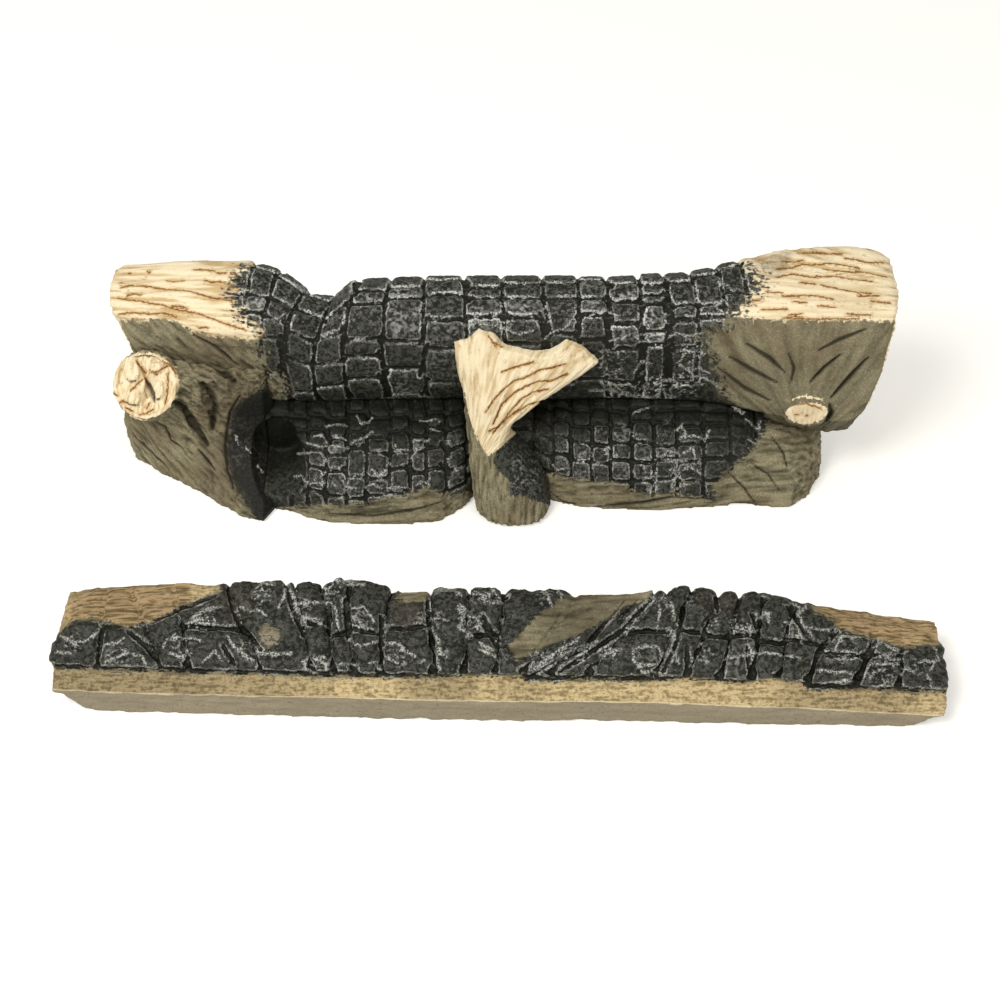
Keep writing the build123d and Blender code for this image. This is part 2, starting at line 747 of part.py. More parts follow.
def make_fork():
    """The forked branch: grooved rings, then its torn crown."""
    turns = [(turn, 0) for turn in fork_plain_turn_shares]
    for groove in fork_groove_turn_shares:
        turns += [(groove - fork_groove_turn_share, 0), (groove, 1), (groove + fork_groove_turn_share, 0)]
    rings = []
    for height, left, right, front, back, groove_share in fork_level_shares:
        middle = (
            (left + right) / 2 * fork_foot_width,
            (front + back) / 2 * fork_foot_reach,
            height * fork_height,
        )
        half_width = (right - left) / 2 * fork_foot_width
        half_depth = (back - front) / 2 * fork_foot_reach
        ring = []
        for turn, is_groove in turns:
            across, along = rounded_unit(turn, fork_squareness)
            dent = fork_groove_depth * groove_share * is_groove
            ring.append(dented(middle, (half_width * across, half_depth * along, 0), dent))
        rings.append(ring)
    left, right = fork_crown_shares[0][0], fork_crown_shares[-1][0]
    crown = ((left, 0),) + fork_crown_shares + ((right, 0),)
    outlines = [
        [(across * fork_foot_width, y, up * fork_height) for across, up in crown]
        for y in (-fork_foot_reach - cut_overrun, fork_foot_reach)
    ]
    return largest(skin(rings) & skin(outlines))


def front_log_place():
    return Location((0, front_log_y, 0), (0, 0, front_log_yaw))


def front_ring(foot, crest, cross, dents):
    """One ring round the front log: its face, its shelf, its slope and its back.

    The slope leans from a foot to a crest place; the dents are those along it.
    """
    foot_x, crest_x = foot * front_log_length, crest * front_log_length
    back = front_log_depth / 2
    end_share = max(0, 1 - (front_log_length / 2 - abs(foot_x)) / front_end_chamfer)
    base_z = front_end_rise * end_share
    base_y = front_end_tuck * end_share
    face_y = -between(front_face_shares, foot)[0] * front_log_depth
    face_z = front_face_height * between(front_shelf_shares, foot)[0]
    shelf_z = face_z + front_shelf_rise
    char_y = face_y + front_shelf_width + front_char_step / 2
    char_z = shelf_z + front_char_step
    crest_share, setback = between(front_crest_shares, crest)
    crest_y = setback * front_log_depth
    crest_z = max(crest_share * front_log_height, char_z)
    ring = [
        (foot_x, face_y + base_y, base_z),
        (foot_x, face_y, (base_z + face_z) / 2),
        (foot_x, face_y, face_z),
        (foot_x, face_y + front_shelf_width, shelf_z),
    ]
    half_cross = front_cross_share / 2
    aways = (0, front_cross_share, cross - half_cross, cross, cross + half_cross, 1 - front_cross_share, 1)
    for away, dent in zip(aways, dents):
        up = between(front_slope_shares, away)[0]
        ring.append((
            foot_x + (crest_x - foot_x) * away,
            char_y + (crest_y - char_y) * away + dent * front_dent_share,
            char_z + (crest_z - char_z) * up - dent * front_dent_share,
        ))
    ring.append((crest_x, back, char_z + (crest_z - char_z) * front_back_share))
    ring.append((crest_x, back, base_z))
    return ring


def plate_dents(lift_share, cross_depth):
    """Dents along one side of a char plate, which stands out by a share of its lift."""
    lift = -front_plate_lift * lift_share
    return (0, lift, lift, lift + cross_depth, lift, lift, 0)


def make_front_log():
    """The front log: plain ends, and plates between cracks that lean up its slope."""
    half_width = front_crack_width / 2 / front_log_length
    rings = []
    for place in front_end_place_shares:
        rings.append(front_ring(-place, -place, front_plain_cross_share, plate_dents(0, 0)))
    before_cross, before_lift, before_depth = front_plain_cross_share, 0, 0
    for foot, crest, depth_share, lift_share, cross in front_crack_shares:
        depth = front_crack_depth * depth_share
        cross_depth = front_crack_depth / 2 if cross else 0
        cross = cross or front_plain_cross_share
        crack_dents = (depth / 2, depth, depth, depth, depth, depth, depth / 2)
        left_dents = plate_dents(before_lift, before_depth)
        right_dents = plate_dents(lift_share, cross_depth)
        rings.append(front_ring(foot - half_width, crest - half_width, before_cross, left_dents))
        rings.append(front_ring(foot, crest, (before_cross + cross) / 2, crack_dents))
        rings.append(front_ring(foot + half_width, crest + half_width, cross, right_dents))
        before_cross, before_lift, before_depth = cross, 1 - lift_share, cross_depth
    for place in reversed(front_end_place_shares):
        rings.append(front_ring(place, place, front_plain_cross_share, plate_dents(0, 0)))
    return skin(rings)


def add_knot(log):
    """The oval knot: a plug inside a groove, with two dimples."""
    knot_x = upper_log_length / 2 - knot_setback
    knot_y = -knot_reach_share * upper_log_depth
    knot_z = bed_height + knot_rise
    face = Plane((knot_x, knot_y, knot_z), x_dir=(1, 0, 0), z_dir=(0, -1, 0))
    radii_x = (knot_width / 2, knot_width / 2)
    radii_y = (knot_height / 2, knot_height / 2)
    moat_x = [radius + knot_groove_width for radius in radii_x]
    moat_y = [radius + knot_groove_width for radius in radii_y]
    knot = taper(face, (knot_root, 0), radii_x, radii_y, branch_sides)
    for side in (-1, 1):
        middle = (knot_x + side * knot_dimple_pitch / 2, knot_y, knot_z)
        knot = knot - rod(knot_dimple_radius, knot_dimple_depth * 2, middle, (0, 1, 0))
    return log - taper(face, (knot_groove_depth, -knot_root), moat_x, moat_y, branch_sides) + knot


def dowel(place):
    radius, length, middle, direction = place
    return rod(radius, length, middle, direction)


def dowel_hole(place):
    radius, length, middle, direction = place
    return rod(radius + dowel_clearance, length + 2 * dowel_end_gap, middle, direction)


def rod_hole(place):
    radius, length, middle, direction = place
    return rod(radius + rod_clearance, length + 2 * rod_clearance, middle, direction)


def write(name, shape):
    shape.label = name
    export_step(shape, os.path.join("parts", name + ".step"))


os.makedirs("parts", exist_ok=True)

# Where the dowels and rods lie: radius, length, middle and direction
upper_dowels = [
    (dowel_radius, dowel_length, (side * upper_dowel_spacing / 2, lower_log_axis_y, bed_height), (0, 0, 1))
    for side in (-1, 1)
]
fork_low_middle = (fork_dowel_x, fork_low_dowel_y, fork_low_dowel_z)
fork_high_middle = (fork_dowel_x, fork_high_dowel_y, bed_height + fork_high_dowel_rise)
fork_dowels = [
    (branch_dowel_radius, branch_dowel_length, middle, (0, 1, 0))
    for middle in (fork_low_middle, fork_high_middle)
]
leg_middle = (lower_log_left_end, leg_dowel_y, leg_dowel_z)
leg_dowels = [(branch_dowel_radius, branch_dowel_length, leg_middle, (1, 0, 0))]
upper_rod_middle = (0, lower_log_axis_y, bed_height + upper_rod_rise)
upper_rod = (rod_radius, upper_rod_length, upper_rod_middle, (1, 0, 0))
lower_rod = (rod_radius, lower_rod_length, (lower_rod_x, lower_log_axis_y, lower_rod_z), (1, 0, 0))
front_rod = (rod_radius, front_rod_length, (0, 0, front_rod_z), (1, 0, 0))

leg_seats = (
    half_round(plain_log(lower_log_point, lower_log_shares, leg_lower_seat_shares)) - burnt_hollow(),
    bedded(plain_log(upper_log_point, upper_log_shares, leg_upper_seat_shares)),
)
fork_seats = (
    half_round(plain_log(lower_log_point, lower_log_shares, fork_lower_seat_shares)),
    bedded(plain_log(upper_log_point, upper_log_shares, fork_upper_seat_shares)),
)
leg = make_leg() - burnt_hollow()
for seat in leg_seats:
    leg = clear_of(leg, seat)
fork = make_fork()
for seat in fork_seats:
    fork = clear_of(fork, seat)

upper_log_holes = [dowel_hole(place) for place in upper_dowels + fork_dowels[1:]]
lower_log_holes = [dowel_hole(place) for place in upper_dowels + fork_dowels[:1] + leg_dowels]
upper_log = add_knot(make_upper_log()) - upper_log_holes - upper_slits() - rod_hole(upper_rod)
lower_log = make_lower_log() - burnt_hollow() - lower_log_holes - rod_hole(lower_rod)
leg = leg - [dowel_hole(place) for place in leg_dowels] - leg_slits()
fork = fork - [dowel_hole(place) for place in fork_dowels]
front_log = make_front_log() - rod_hole(front_rod)

write("upper_log", largest(upper_log))
write("lower_log", largest(lower_log))
write("leg_branch", largest(leg))
write("fork_branch", largest(fork))
write("front_log", largest(front_log).moved(front_log_place()))
write("upper_log_dowels", Compound([dowel(place) for place in upper_dowels]))
write("fork_branch_dowels", Compound([dowel(place) for place in fork_dowels]))
write("leg_branch_dowel", dowel(leg_dowels[0]))
write("upper_log_rod", dowel(upper_rod))
write("lower_log_rod", dowel(lower_rod))
write("front_log_rod", dowel(front_rod).moved(front_log_place()))
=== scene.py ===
import bmesh
import bpy
import math
import numpy as np
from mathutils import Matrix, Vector, noise
from mathutils.bvhtree import BVHTree
from mathutils.kdtree import KDTree


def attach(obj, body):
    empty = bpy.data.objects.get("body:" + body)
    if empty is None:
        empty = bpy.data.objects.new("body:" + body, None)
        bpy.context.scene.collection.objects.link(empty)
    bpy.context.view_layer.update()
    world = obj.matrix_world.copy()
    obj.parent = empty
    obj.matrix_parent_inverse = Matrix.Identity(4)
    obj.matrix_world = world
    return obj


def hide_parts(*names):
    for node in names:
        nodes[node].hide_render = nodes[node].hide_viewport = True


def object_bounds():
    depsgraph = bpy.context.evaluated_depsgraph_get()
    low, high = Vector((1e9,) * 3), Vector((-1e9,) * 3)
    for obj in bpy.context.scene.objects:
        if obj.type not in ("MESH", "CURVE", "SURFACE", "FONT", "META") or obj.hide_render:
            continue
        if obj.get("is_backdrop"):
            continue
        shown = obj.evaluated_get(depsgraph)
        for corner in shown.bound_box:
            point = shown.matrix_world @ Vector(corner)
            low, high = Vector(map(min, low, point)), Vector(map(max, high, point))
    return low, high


# Gas log set: five hand-painted refractory castings and the steel inside them.
# The castings are fine skins over the frame's shapes, with checks, plates,
# bark furrows and split grain cut into them, and paint that follows the cuts.

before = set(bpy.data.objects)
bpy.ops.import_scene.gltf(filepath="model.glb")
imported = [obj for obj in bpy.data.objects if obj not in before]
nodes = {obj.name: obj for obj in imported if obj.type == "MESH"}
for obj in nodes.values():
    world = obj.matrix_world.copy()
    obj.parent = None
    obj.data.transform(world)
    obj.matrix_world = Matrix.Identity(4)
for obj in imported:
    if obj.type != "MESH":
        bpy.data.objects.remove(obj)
cad_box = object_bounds()

# Vector noise takes its offsets from this seed, or else from the clock
noise.seed_set(3)

MM = 0.001

# The eye of the photograph, in millimetres, and its picture, in pixels
eye = np.array((0.0, -838.0, 804.5))
eye_tilt = math.radians(45.0)
photo_focus = 1770.0
photo_middle = 500.0
pixels_per_mm = 1.62

# The frame's checks: how sharp a fold is one, in radians, and then in millimetres
# how closely it is sampled, how wide its shoulder is, and what counts as far off
check_fold = 0.42
check_step = 0.8
check_shoulder = 1.5
far_mm = 9.0
# Noise bends the checks by up to about this, in slow waves and quick ripples
bend_mm = 1.0
wave_mm = 10.0
ripple_mm = 3.5
# Plates with more than this share of a skin's points have run together
joined_share = 0.05
middling = 0.4

# What every casting's skin carries for its relief and paint
mark_names = (
    "char", "wood", "bare", "edge_mm", "cell", "calm", "carve", "soot_and_shade", "rust", "silver", "furrow",
    "ridge", "shelf", "split", "gloss",
)


def seen_at(points):
    """Where points, in millimetres, lie in the photograph, in pixels."""
    offset = points - eye
    cosine, sine = math.cos(eye_tilt), math.sin(eye_tilt)
    depth = offset[:, 1] * cosine - offset[:, 2] * sine
    rise = offset[:, 1] * sine + offset[:, 2] * cosine
    across = photo_middle + photo_focus * offset[:, 0] / depth
    down = photo_middle - photo_focus * rise / depth
    return np.column_stack((across, down))


def sight_line(across, down):
    """The direction from the eye through a pixel."""
    side = (across - photo_middle) / photo_focus
    up = (photo_middle - down) / photo_focus
    cosine, sine = math.cos(eye_tilt), math.sin(eye_tilt)
    return Vector((side, cosine + up * sine, up * cosine - sine)).normalized()


def smooth_step(low, high, value):
    """0 up to the low value, 1 from the high one, and a smooth rise between."""
    share = np.clip((value - low) / (high - low), 0, 1)
    return share * share * (3 - 2 * share)


def scatter(first, second, seed):
    """Repeatable scattered values between 0 and 1 for pairs of counts."""
    value = np.sin(first * 127.1 + second * 311.7 + seed * 74.7) * 43758.5453
    return value - np.floor(value)


def check_lines(mesh):
    """The bottoms of a CAD mesh's checks, as a tree of points in millimetres."""
    work = bmesh.new()
    work.from_mesh(mesh)
    spots = []
    for edge in work.edges:
        if edge.is_manifold and edge.calc_face_angle_signed() < -check_fold:
            start, end = [vertex.co / MM for vertex in edge.verts]
            count = int((end - start).length / check_step) + 1
            spots += [start.lerp(end, index / count) for index in range(count + 1)]
    work.free()
    tree = KDTree(len(spots))
    for index, spot in enumerate(spots):
        tree.insert(spot, index)
    tree.balance()
    return tree


def outer_skin(mesh):
    """Merges a copied CAD mesh and drops the closed bores inside it."""
    work = bmesh.new()
    work.from_mesh(mesh)
    bmesh.ops.remove_doubles(work, verts=work.verts, dist=0.01 * MM)
    left = set(work.verts)
    islands = []
    while left:
        start = left.pop()
        island = {start}
        edge = [start]
        while edge:
            vertex = edge.pop()
            for link in vertex.link_edges:
                other = link.other_vert(vertex)
                if other in left:
                    left.discard(other)
                    island.add(other)
                    edge.append(other)
        islands.append(island)
    largest = max(islands, key=len)
    spare = [vertex for island in islands if island is not largest for vertex in island]
    bmesh.ops.delete(work, geom=spare, context="VERTS")
    work.to_mesh(mesh)
    work.free()


def baked(piece):
    """Turns a piece's live modifiers into a plain mesh."""
    graph = bpy.context.evaluated_depsgraph_get()
    mesh = bpy.data.meshes.new_from_object(
        piece.evaluated_get(graph), preserve_all_data_layers=True, depsgraph=graph,
    )
    piece.modifiers.clear()
    old = piece.data
    piece.data = mesh
    bpy.data.meshes.remove(old)
    return mesh


class Casting:
    """The fine skin of one casting, with its points in millimetres."""

    def __init__(self, node, grid):
        mesh = nodes[node].data.copy()
        mesh.materials.clear()
        outer_skin(mesh)
        self.checks = check_lines(mesh)
        self.node = node
        self.piece = bpy.data.objects.new(node + "_casting", mesh)
        bpy.context.scene.collection.objects.link(self.piece)
        remesh = self.piece.modifiers.new("skin", "REMESH")
        remesh.mode = "VOXEL"
        remesh.voxel_size = grid * MM
        remesh.use_smooth_shade = True
        soften = self.piece.modifiers.new("soften", "SMOOTH")
        soften.factor = 0.5
        soften.iterations = 3
        baked(self.piece)
        self.measure()
        self.tree = BVHTree.FromPolygons(
            [Vector(point) for point in self.points],
            [tuple(face.vertices) for face in self.piece.data.polygons],
        )
        count = len(self.points)
        self.dent = np.zeros(count)
        self.marks = {name: np.zeros(count) for name in mark_names}
        self.marks["edge_mm"] = np.full(count, far_mm)
        self.marks["vein_mm"] = self.traced(())
        self.marks["glint_mm"] = self.traced(())

    def measure(self):
        """Reads the skin's points, their normals, and where the photograph shows them."""
        mesh = self.piece.data
        count = len(mesh.vertices)
        flat = np.zeros(count * 3, np.float32)
        mesh.vertices.foreach_get("co", flat)
        self.points = flat.reshape(-1, 3).astype(float) / MM
        normals = np.zeros(count * 3, np.float32)
        mesh.vertex_normals.foreach_get("vector", normals)
        self.normals = normals.reshape(-1, 3).astype(float)
        self.seen = seen_at(self.points)

    def touch(self, across, down):
        """The point of the casting that a pixel of the photograph shows."""
        hit = self.tree.ray_cast(Vector(eye), sight_line(across, down))[0]
        return None if hit is None else np.array(hit)

    def inside(self, outline):
        """How far inside an outline of the photograph each point is, in millimetres."""
        x, y = self.seen[:, 0], self.seen[:, 1]
        nearest = np.full(len(x), 1e9)
        within = np.zeros(len(x), bool)
        for (x0, y0), (x1, y1) in zip(outline, outline[1:] + outline[:1]):
            dx, dy = x1 - x0, y1 - y0
            share = np.clip(((x - x0) * dx + (y - y0) * dy) / (dx * dx + dy * dy), 0, 1)
            gap = np.hypot(x - x0 - share * dx, y - y0 - share * dy)
            nearest = np.minimum(nearest, gap)
            if y0 != y1:
                crosses = (y0 > y) != (y1 > y)
                within ^= crosses & (x < x0 + (y - y0) * dx / dy)
        return np.where(within, nearest, -nearest) / pixels_per_mm

    def near(self, spots):
        """A soft weight round spots of the photograph: across, down, radius, strength."""
        weight = np.zeros(len(self.points))
        for across, down, radius, strength in spots:
            gap = np.hypot(self.seen[:, 0] - across, self.seen[:, 1] - down)
            weight = np.maximum(weight, strength * (1 - smooth_step(0.5 * radius, radius, gap)))
        return weight

    def fan(self, across, down, reach):
        """Grain that spreads from a pixel: places along it and across it, in millimetres."""
        x, y = self.seen.T
        turn = np.arctan2(y - down, np.abs(x - across))
        # The grain left of the pixel isn't the same as the grain right of it
        away = np.hypot(y - down, x - across) + 10 * reach * (x < across)
        return np.column_stack((away, turn * reach, np.zeros(len(x)))) / pixels_per_mm

    def check_gap(self):
        """How far each point is from the nearest check, where noise bends the checks."""
        gap = np.zeros(len(self.points))
        for index, point in enumerate(self.points):
            place = Vector(point)
            shift = noise.noise_vector(place / wave_mm) + 0.5 * noise.noise_vector(place / ripple_mm)
            gap[index] = self.checks.find(place + shift * bend_mm)[2]
        return gap

    def blocks(self, gap):
        """A scattered value for each block between the checks, from where its middle is."""
        mesh = self.piece.data
        pairs = np.zeros(len(mesh.edges) * 2, np.int32)
        mesh.edges.foreach_get("vertices", pairs)
        pairs = pairs.reshape(-1, 2)
        pairs = pairs[(gap[pairs] > check_shoulder).all(axis=1)]
        label = np.arange(len(gap))
        joined = False
        while not joined:
            low = np.minimum(label[pairs[:, 0]], label[pairs[:, 1]])
            after = label.copy()
            np.minimum.at(after, pairs[:, 0], low)
            np.minimum.at(after, pairs[:, 1], low)
            after = after[after]
            joined = (after == label).all()
            label = after
        index, counts = np.unique(label, return_inverse=True, return_counts=True)[1:]
        across, deep, high = [np.bincount(index, values) / counts for values in self.points.T]
        value = scatter(np.round(across, 1), np.round(deep + 2 * high, 1), 7)
        # Plates that have run together take a middling value
        value = np.where(counts > joined_share * len(gap), middling, value)
        return np.where(gap > check_shoulder, value[index], 0.5)

    def line_gap(self, pixels):
        """The points round a drawn line: which, how far in millimetres, where along it, on which side."""
        hits = [self.touch(*pixel) for pixel in pixels]
        hits = [hit for hit in hits if hit is not None]
        if not hits:
            return np.zeros(0, int), np.zeros(0), np.zeros(0), np.zeros(0)
        low = np.min(hits, axis=0) - far_mm
        high = np.max(hits, axis=0) + far_mm
        close = np.nonzero(((self.points > low) & (self.points < high)).all(axis=1))[0]
        x, y = self.seen[close].T
        total = sum(math.dist(start, end) for start, end in zip(pixels, pixels[1:]))
        gone = 0.0
        nearest = np.full(len(close), far_mm * pixels_per_mm)
        place = np.zeros(len(close))
        side = np.ones(len(close))
        for (x0, y0), (x1, y1) in zip(pixels, pixels[1:]):
            dx, dy = x1 - x0, y1 - y0
            length = math.hypot(dx, dy)
            share = np.clip(((x - x0) * dx + (y - y0) * dy) / length ** 2, 0, 1)
            gap = np.hypot(x - x0 - share * dx, y - y0 - share * dy)
            closer = gap < nearest
            place = np.where(closer, (gone + share * length) / total, place)
            side = np.where(closer, np.sign((x - x0) * dy - (y - y0) * dx), side)
            nearest = np.minimum(gap, nearest)
            gone += length
        return close, nearest / pixels_per_mm, place, side

    def strokes(self, rows):
        """Draws tapering cuts, or ridges where the depth is negative; returns the cuts' weight."""
        dark = np.zeros(len(self.points))
        for width, depth, pixels in rows:
            close, gap, place = self.line_gap(pixels)[:3]
            reach = width * (0.4 + 0.6 * np.sin(np.pi * place))
            weight = 1 - smooth_step(0, 1, gap / reach)
            self.dent[close] += depth * weight
            if depth > 0:
                dark[close] = np.maximum(dark[close], weight)
        return dark

    def traced(self, drawn):
        """Distances to the nearest drawn line: signed by side, and plain but longer at its ends."""
        signed = np.full(len(self.points), far_mm)
        plain = np.full(len(self.points), far_mm)
        for pixels in drawn:
            close, gap, place, side = self.line_gap(pixels)
            closer = gap < np.abs(signed[close])
            where = close[closer]
            signed[where] = (gap * side)[closer]
            plain[where] = (gap + 0.5 * (1 - np.sin(np.pi * place)))[closer]
        return np.column_stack((signed, plain, np.zeros(len(signed))))

    def store(self, name, values):
        """Keeps a value or a vector at every point of the skin."""
        mesh = self.piece.data
        kind = "FLOAT" if values.ndim == 1 else "FLOAT_VECTOR"
        layer = mesh.attributes.new(name, kind, "POINT")
        field = "value" if values.ndim == 1 else "vector"
        layer.data.foreach_set(field, values.astype(np.float32).ravel())

    def finish(self, body, paint, sizes):
        """Stores the marks, cuts the relief, and hands the piece to its body."""
        for name, values in self.marks.items():
            self.store(name, values)
        self.store("dent_mm", self.dent)
        modifier = self.piece.modifiers.new("relief", "NODES")
        modifier.node_group = relief
        for socket in relief.interface.items_tree:
            if socket.in_out == "INPUT" and socket.name in sizes:
                modifier[socket.identifier] = sizes[socket.name]
            if socket.in_out == "INPUT" and socket.name == "Paint":
                modifier[socket.identifier] = paint
        self.piece.update_tag()
        baked(self.piece)
        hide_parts(self.node)
        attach(self.piece, body)


def turned(points, direction):
    """Coordinates of points along a direction and across it, twice."""
    along = np.array(direction) / np.linalg.norm(direction)
    across = np.cross(along, (0, 0, 1))
    across = across / np.linalg.norm(across)
    other = np.cross(along, across)
    return np.column_stack((points @ along, points @ across, points @ other))


def linear(code):
    """A hex colour as linear light."""
    light = []
    for start in (0, 2, 4):
        value = int(code[start:start + 2], 16) / 255
        light.append(value / 12.92 if value <= 0.04045 else ((value + 0.055) / 1.055) ** 2.4)
    return (*light, 1.0)


# Kinds of node that come often, with their settings
times = ("ShaderNodeMath", {"operation": "MULTIPLY"})
plus = ("ShaderNodeMath", {"operation": "ADD"})
minus = ("ShaderNodeMath", {"operation": "SUBTRACT"})
times_plus = ("ShaderNodeMath", {"operation": "MULTIPLY_ADD"})
larger = ("ShaderNodeMath", {"operation": "MAXIMUM"})
unsigned = ("ShaderNodeMath", {"operation": "ABSOLUTE"})
ramp = ("ShaderNodeMapRange", {})
smooth_ramp = ("ShaderNodeMapRange", {"interpolation_type": "SMOOTHSTEP"})
mix = ("ShaderNodeMix", {"data_type": "RGBA"})
noise_4d = ("ShaderNodeTexNoise", {"noise_dimensions": "4D"})


def add(tree, kind, settings=None, inputs=None):
    """Adds a node with its settings, and links or sets its inputs."""
    node = tree.nodes.new(kind)
    for name, value in (settings or {}).items():
        setattr(node, name, value)
    for name, value in (inputs or {}).items():
        if isinstance(value, bpy.types.Node):
            # A colour mix gives its colour third
            value = value.outputs[2 if value.bl_idname == "ShaderNodeMix" else 0]
        if isinstance(value, bpy.types.NodeSocket):
            tree.links.new(value, node.inputs[name])
        else:
            node.inputs[name].default_value = value
    return node


def relief_tree():
    """Cuts checks, streaks, pits and drawn cuts into a casting along its normals."""
    tree = bpy.data.node_groups.new("refractory_relief", "GeometryNodeTree")
    tree.interface.new_socket("Geometry", in_out="INPUT", socket_type="NodeSocketGeometry")
    sizes = (
        ("Check Width", 1.5),
        ("Check Depth", 2.2),
        ("Block Dome", 0.8),
        ("Block Step", 0.8),
        ("Streak Depth", 1.0),
        ("Streak Width", 3.0),
        ("Streak Length", 22.0),
        ("Grain Depth", 0.5),
        ("Grain Width", 1.7),
        ("Pit Depth", 0.35),
        ("Pit Size", 2.4),
        ("Seed", 1.0),
    )
    for label, value in sizes:
        socket = tree.interface.new_socket(label, in_out="INPUT", socket_type="NodeSocketFloat")
        socket.default_value = value
    tree.interface.new_socket("Paint", in_out="INPUT", socket_type="NodeSocketMaterial")
    tree.interface.new_socket("Geometry", in_out="OUTPUT", socket_type="NodeSocketGeometry")
    given = add(tree, "NodeGroupInput").outputs

    read = {}
    for name in ("char", "wood", "edge_mm", "cell", "calm", "dent_mm"):
        read[name] = add(tree, "GeometryNodeInputNamedAttribute", {"data_type": "FLOAT"}, {"Name": name})
    grain = add(
        tree, "GeometryNodeInputNamedAttribute", {"data_type": "FLOAT_VECTOR"}, {"Name": "grain_mm"},
    )

    # Checks: a rounded groove at each block's edge, and blocks that swell and step
    groove = add(
        tree, *smooth_ramp, {0: read["edge_mm"], 1: 0.0, 2: given["Check Width"], 3: 1.0, 4: 0.0},
    )
    groove = add(tree, *times, {0: groove, 1: given["Check Depth"]})
    swell = add(tree, *smooth_ramp, {0: read["edge_mm"], 1: 0.0, 2: 6.0, 3: 0.0, 4: given["Block Dome"]})
    rise = add(
        tree, *smooth_ramp,
        {0: read["edge_mm"], 1: check_shoulder, 2: 3.5, 3: 0.0, 4: given["Block Step"]},
    )
    step = add(tree, *times, {0: read["cell"], 1: rise})
    block = add(tree, *plus, {0: swell, 1: step})
    block = add(tree, *minus, {0: block, 1: groove})
    lively = add(tree, *minus, {0: 1.0, 1: read["calm"]})
    char_weight = add(tree, *times, {0: read["char"], 1: lively})
    block = add(tree, *times, {0: block, 1: char_weight})

    # Bark: long furrows that run with the grain
    streak_size = add(
        tree, "ShaderNodeCombineXYZ", {},
        {"X": given["Streak Length"], "Y": given["Streak Width"], "Z": given["Streak Width"]},
    )
    streak_place = add(tree, "ShaderNodeVectorMath", {"operation": "DIVIDE"}, {0: grain, 1: streak_size})
    streak = add(
        tree, *noise_4d,
        {"Vector": streak_place, "W": given["Seed"], "Scale": 1.0, "Detail": 2.0, "Distortion": 0.3},
    )
    streak = add(tree, *ramp, {0: streak, 1: 0.3, 2: 0.7, 3: -1.0, 4: 1.0})
    bark_weight = add(tree, *minus, {0: 1.0, 1: read["char"]})
    bark_weight = add(
        tree, "ShaderNodeMath", {"operation": "SUBTRACT", "use_clamp": True},
        {0: bark_weight, 1: read["wood"]},
    )
    bark = add(tree, *times, {0: streak, 1: given["Streak Depth"]})
    bark = add(tree, *times, {0: bark, 1: bark_weight})
    bark = add(tree, *times, {0: bark, 1: lively})

    # Split wood: fine ridges with the grain
    grain_size = add(
        tree, "ShaderNodeCombineXYZ", {},
        {"X": given["Streak Length"], "Y": given["Grain Width"], "Z": given["Grain Width"]},
    )
    grain_place = add(tree, "ShaderNodeVectorMath", {"operation": "DIVIDE"}, {0: grain, 1: grain_size})
    ridge = add(
        tree, *noise_4d,
        {"Vector": grain_place, "W": given["Seed"], "Scale": 1.0, "Detail": 1.0},
    )
    crest = add(tree, *ramp, {0: ridge, 1: 0.3, 2: 0.7, 3: -1.0, 4: 1.0})
    ridge = add(tree, *times, {0: crest, 1: given["Grain Depth"]})
    ridge = add(tree, *times, {0: ridge, 1: read["wood"]})

    # Pits of the cast surface, shallower off the char
    place = add(tree, "GeometryNodeInputPosition")
    pit_scale = add(tree, "ShaderNodeMath", {"operation": "DIVIDE"}, {0: 1 / MM, 1: given["Pit Size"]})
    pit_place = add(tree, "ShaderNodeVectorMath", {"operation": "SCALE"}, {0: place, "Scale": pit_scale})
    pit = add(
        tree, *noise_4d,
        {"Vector": pit_place, "W": given["Seed"], "Scale": 1.0, "Detail": 2.0},
    )
    pit = add(tree, *ramp, {0: pit, 1: 0.3, 2: 0.7, 3: -1.0, 4: 1.0})
    pit = add(tree, *times, {0: pit, 1: given["Pit Depth"]})
    pitted = add(tree, *ramp, {0: read["char"], 1: 0.0, 2: 1.0, 3: 0.35, 4: 1.0})
    pit = add(tree, *times, {0: pit, 1: pitted})

    height = add(tree, *plus, {0: block, 1: bark})
    height = add(tree, *plus, {0: height, 1: ridge})
    height = add(tree, *plus, {0: height, 1: pit})
    height = add(tree, *minus, {0: height, 1: read["dent_mm"]})
    height = add(tree, *times, {0: height, 1: MM})
    normal = add(tree, "GeometryNodeInputNormal")
    move = add(tree, "ShaderNodeVectorMath", {"operation": "SCALE"}, {0: normal, "Scale": height})
    marked = given["Geometry"]
    for label, value in (("furrow", streak), ("ridge", crest)):
        marked = add(
            tree, "GeometryNodeStoreNamedAttribute", {"data_type": "FLOAT", "domain": "POINT"},
            {"Geometry": marked, "Name": label, "Value": value},
        )
    moved = add(tree, "GeometryNodeSetPosition", {}, {"Geometry": marked, "Offset": move})
    # The flat bases stay on the ground
    spot = add(tree, "ShaderNodeSeparateXYZ", {}, {0: add(tree, "GeometryNodeInputPosition")}).outputs
    raised = add(tree, *larger, {0: spot["Z"], 1: 0.0})
    spot = add(tree, "ShaderNodeCombineXYZ", {}, {"X": spot["X"], "Y": spot["Y"], "Z": raised})
    moved = add(tree, "GeometryNodeSetPosition", {}, {"Geometry": moved, "Position": spot})
    whole = add(tree, "GeometryNodeRealizeInstances", {}, {"Geometry": moved})
    painted = add(tree, "GeometryNodeSetMaterial", {}, {"Geometry": whole, "Material": given["Paint"]})
    add(tree, "NodeGroupOutput", {}, {"Geometry": painted})
    return tree


